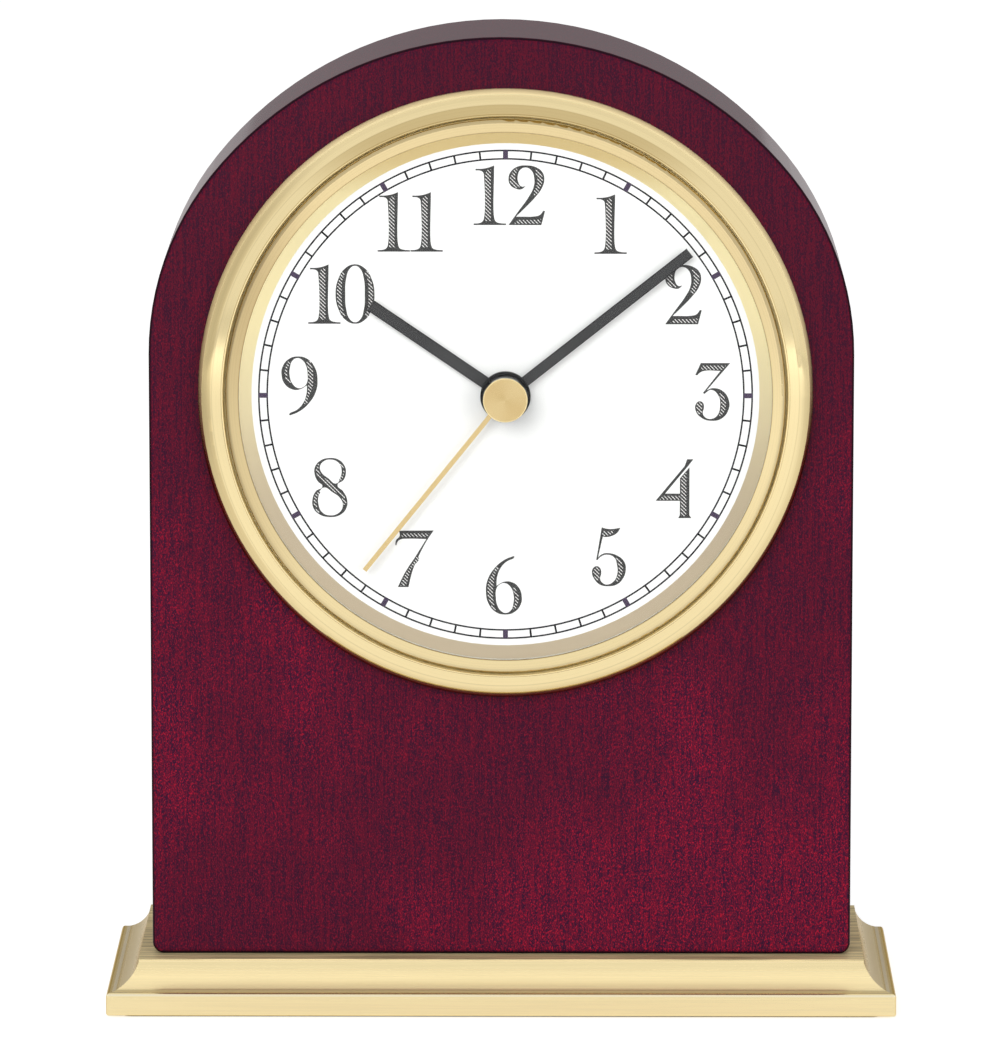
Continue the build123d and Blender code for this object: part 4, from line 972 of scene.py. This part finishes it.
class DressMetal(bpy.types.Operator):
    """Plate the base, the bezel and the ring behind the crystal"""

    bl_idname = "desk_clock.dress_metal"
    bl_label = "Gold metalwork"

    def execute(self, context):
        wear(["base_plinth"], plated_base())
        wear(["bezel_outer_ring", "bezel_inner_ring"], polished_ring())
        wear(["reflector_ring"], reflector_plate())
        wear(["second_hand"], sweep_gold())
        wear(["second_hand_cap"], spun_cap())
        steel = worked_metal("plain_steel", (0.6, 0.6, 0.62))
        wear(["base_screws", "base_washers", "shell_screws"], steel)
        return {"FINISHED"}


class DressDial(bpy.types.Operator):
    """Paint the dial and hands, and clear the crystal"""

    bl_idname = "desk_clock.dress_dial"
    bl_label = "Dial, hands and crystal"

    def execute(self, context):
        wear(["dial_plate"], painted_dial())
        wear(["hour_hand"], painted_hand("painted_hour_hand", HOUR_HAND_ANGLE, HOUR_HAND_WIDTH))
        minute_paint = painted_hand("painted_minute_hand", MINUTE_HAND_ANGLE, MINUTE_HAND_WIDTH)
        wear(["minute_hand"], minute_paint)
        wear(["crystal"], clear_crystal())
        wear(["crystal_gasket"], moulded_plastic("clear_gasket", (0.7, 0.67, 0.58), 0.4))
        return {"FINISHED"}


class DressMovement(bpy.types.Operator):
    """Finish the insert, the movement and its battery"""

    bl_idname = "desk_clock.dress_movement"
    bl_label = "Insert and movement"

    def execute(self, context):
        wear(["insert_housing", "rear_cover"], moulded_plastic("black_moulding", (0.028, 0.028, 0.03)))
        wear(["grip_band"], moulded_plastic("black_rubber", (0.018, 0.018, 0.018), 0.7, 1500.0))
        wear(["movement_front_shell", "movement_back_shell", "setting_knob"],
             moulded_plastic("movement_moulding", (0.045, 0.045, 0.05), 0.45, 1400.0))
        wear(["middle_plate", "coil_bobbin"], moulded_plastic("bobbin_moulding", (0.11, 0.11, 0.12), 0.45))
        wear(["driver_chip"], moulded_plastic("chip_resin", (0.02, 0.02, 0.022), 0.55, 2600.0))
        wear(["hour_wheel", "motion_wheel", "setting_arbor", "centre_wheel", "third_wheel", "second_wheel",
              "intermediate_wheel", "rotor_pinion"],
             moulded_plastic("wheel_moulding", (0.82, 0.8, 0.72), 0.35, 2000.0, 0.008 * MM))
        wear(["cannon_pinion"], worked_metal("turned_brass", (0.82, 0.62, 0.30), 0.25))
        wear(["rotor_magnet"],
             worked_metal("sintered_magnet", (0.2, 0.2, 0.21), 0.5, 2400.0, (1.0, 1.0, 1.0)))
        wear(["stator", "coil_core"], worked_metal("stamped_iron", (0.5, 0.5, 0.52), 0.35))
        wear(["coil_winding"], wound_copper())
        wear(["circuit_board"], circuit_lacquer())
        wear(["quartz_can", "positive_contact", "negative_contact"],
             worked_metal("bright_nickel", (0.74, 0.72, 0.67), 0.22))
        wear(["battery"], battery_sleeve())
        return {"FINISHED"}


class PrintTrack(bpy.types.Operator):
    """Print the minute track with its minute and hour bars"""

    bl_idname = "desk_clock.print_track"
    bl_label = "Minute track"

    def execute(self, context):
        setting, tones = sizes(), colours()
        inner, outer, half = setting.track_inner, setting.track_outer, setting.track_line / 2
        # A minute's bar ends inside the round lines and lies a hair lower than they do
        reach, minute_ink = half * 0.9, setting.ink * 0.98
        lines = bmesh.new()
        for radius in (inner, outer):
            track_ring(lines, radius - half, radius + half, setting.ink)
        for minute in range(60):
            if minute % 5:
                angle = minute * math.pi / 30
                dial_bar(lines, angle, inner + reach, outer - reach, setting.minute_bar, minute_ink)
        black = printed_ink("track_ink", tones.ink_black)
        mesh_piece("minute_track", settled(lines, "minute_track"), "case", [black])
        # An hour's bar runs a little past the middle of both lines and stands over them
        past, hour_ink = setting.track_line * 0.2, setting.ink * 1.3
        bars = bmesh.new()
        for hour in range(12):
            dial_bar(bars, hour * math.pi / 6, inner - past, outer + past, setting.hour_bar, hour_ink)
        plum = printed_ink("hour_bar_ink", tones.ink_plum)
        mesh_piece("hour_bars", settled(bars, "hour_bars"), "case", [plum])
        return {"FINISHED"}


class PrintNumerals(bpy.types.Operator):
    """Print the twelve shaded numerals"""

    bl_idname = "desk_clock.print_numerals"
    bl_label = "Numerals"

    def execute(self, context):
        ink = sizes().ink
        hatch_ink = ink / 2
        solid, hatched = printed_ink("numeral_ink", colours().ink_grey), hatched_ink()
        for hour, figures in HOURS.items():
            shape = bmesh.new()
            for (outlines, shading), right, up in figures:
                flat_print(shape, "outline", shifted(outlines, right, up), ink, ink)
                for contour in shifted(shading, right, up):
                    flat_print(shape, "shading", [contour], ink + hatch_ink, hatch_ink, 1)
            mesh = settled(shape, f"numeral_{hour:02d}")
            mesh_piece(f"numeral_{hour:02d}", mesh, "case", [solid, hatched])
        return {"FINISHED"}


class SetStage(bpy.types.Operator):
    """Set the floor, the light and the camera"""

    bl_idname = "desk_clock.set_stage"
    bl_label = "Studio"

    def execute(self, context):
        scene = context.scene
        scene.view_settings.view_transform = "Standard"
        self.pave()
        self.sky(scene)
        self.lamp("key", place=(-0.60, -1.50, 0.85), size=1.1, power=16.0)
        self.lamp("fill", place=(0.95, -1.30, 0.50), size=1.0, power=7.0)
        self.camera(scene)
        return {"FINISHED"}

    def pave(self):
        """A pale floor that shows white to the eye and keeps the clock's shadow."""
        shape = bmesh.new()
        bmesh.ops.create_grid(shape, x_segments=8, y_segments=8, size=6.0)
        mesh = bpy.data.meshes.new("floor")
        shape.to_mesh(mesh)
        shape.free()
        floor = bpy.data.objects.new("floor", mesh)
        bpy.context.scene.collection.objects.link(floor)
        mesh.materials.append(pale_floor())

    def sky(self, scene):
        """Plain soft light, white to the eye, and duller to one side, above and behind in the gloss."""
        scene.world = bpy.data.worlds.new("studio")
        board = Board(scene.world)
        white = (1.0, 1.0, 1.0, 1.0)
        overhead, leftward, rearward = (0.45, 0.95), (0.45, 0.85), (0.35, 0.85)
        eye, gloss = board.ray("Camera"), board.ray("Glossy", "Transmission")
        x, y, z = board.parts(board.add("ShaderNodeTexCoord", out=0))
        ceiling, side = z.ramp(*overhead) * 0.06, (0.0 - x).ramp(*leftward) * 0.16
        mirror = 0.93 - (ceiling.highest(side) + y.ramp(*rearward) * 0.43)
        level = eye + (1.0 - eye) * (gloss * mirror + (1.0 - gloss) * 0.58)
        board.surface(board.add("ShaderNodeBackground", None, {"Color": white, "Strength": level}))

    def lamp(self, name, place, size, power):
        """A square lamp aimed at the clock's middle, unseen in metal and glass."""
        light = bpy.data.lights.new(name, "AREA")
        light.shape = "SQUARE"
        light.size = size
        light.energy = power
        holder = bpy.data.objects.new(name, light)
        bpy.context.scene.collection.objects.link(holder)
        holder.location = place
        holder.visible_glossy = holder.visible_transmission = False
        middle = Vector((0.0, 0.0, 0.09))
        holder.rotation_euler = (middle - Vector(place)).to_track_quat("-Z", "Y").to_euler()

    def camera(self, scene):
        """A long lens in front, a little above the dial, as in a catalogue picture."""
        lens = bpy.data.cameras.new("camera")
        lens.sensor_width = 36.0
        lens.lens = 276.3
        lens.clip_start, lens.clip_end = 0.05, 20.0
        holder = bpy.data.objects.new("camera", lens)
        scene.collection.objects.link(holder)
        place = Vector((8.25, -1526.08, 353.05)) * MM
        aim = Vector((-0.25, -19.70, 95.83)) * MM
        holder.location = place
        holder.rotation_euler = (aim - place).to_track_quat("-Z", "Y").to_euler()
        scene.camera = holder


class DeskClockPanel(bpy.types.Panel):
    """Lists the clock's steps and settings"""

    bl_idname = "VIEW3D_PT_desk_clock"
    bl_label = "Desk Clock"
    bl_space_type = "VIEW_3D"
    bl_region_type = "UI"
    bl_category = "Desk Clock"

    def draw(self, context):
        for step in STEPS:
            self.layout.operator(step.bl_idname)
        for group in (context.scene.desk_clock_sizes, context.scene.desk_clock_colours):
            box = self.layout.box()
            for name in group.bl_rna.properties.keys():
                if name not in ("rna_type", "name"):
                    box.prop(group, name)


STEPS = (DressCase, DressMetal, DressDial, DressMovement, PrintTrack, PrintNumerals, SetStage)
CLASSES = (ClockSizes, ClockColours, *STEPS, DeskClockPanel)


def register():
    for each in CLASSES:
        bpy.utils.register_class(each)
    bpy.types.Scene.desk_clock_sizes = bpy.props.PointerProperty(type=ClockSizes)
    bpy.types.Scene.desk_clock_colours = bpy.props.PointerProperty(type=ClockColours)


def unregister():
    del bpy.types.Scene.desk_clock_colours
    del bpy.types.Scene.desk_clock_sizes
    for each in reversed(CLASSES):
        bpy.utils.unregister_class(each)


def main():
    register()
    for step in STEPS:
        family, action = step.bl_idname.split(".")
        getattr(getattr(bpy.ops, family), action)()


if __name__ == "__main__":
    main()
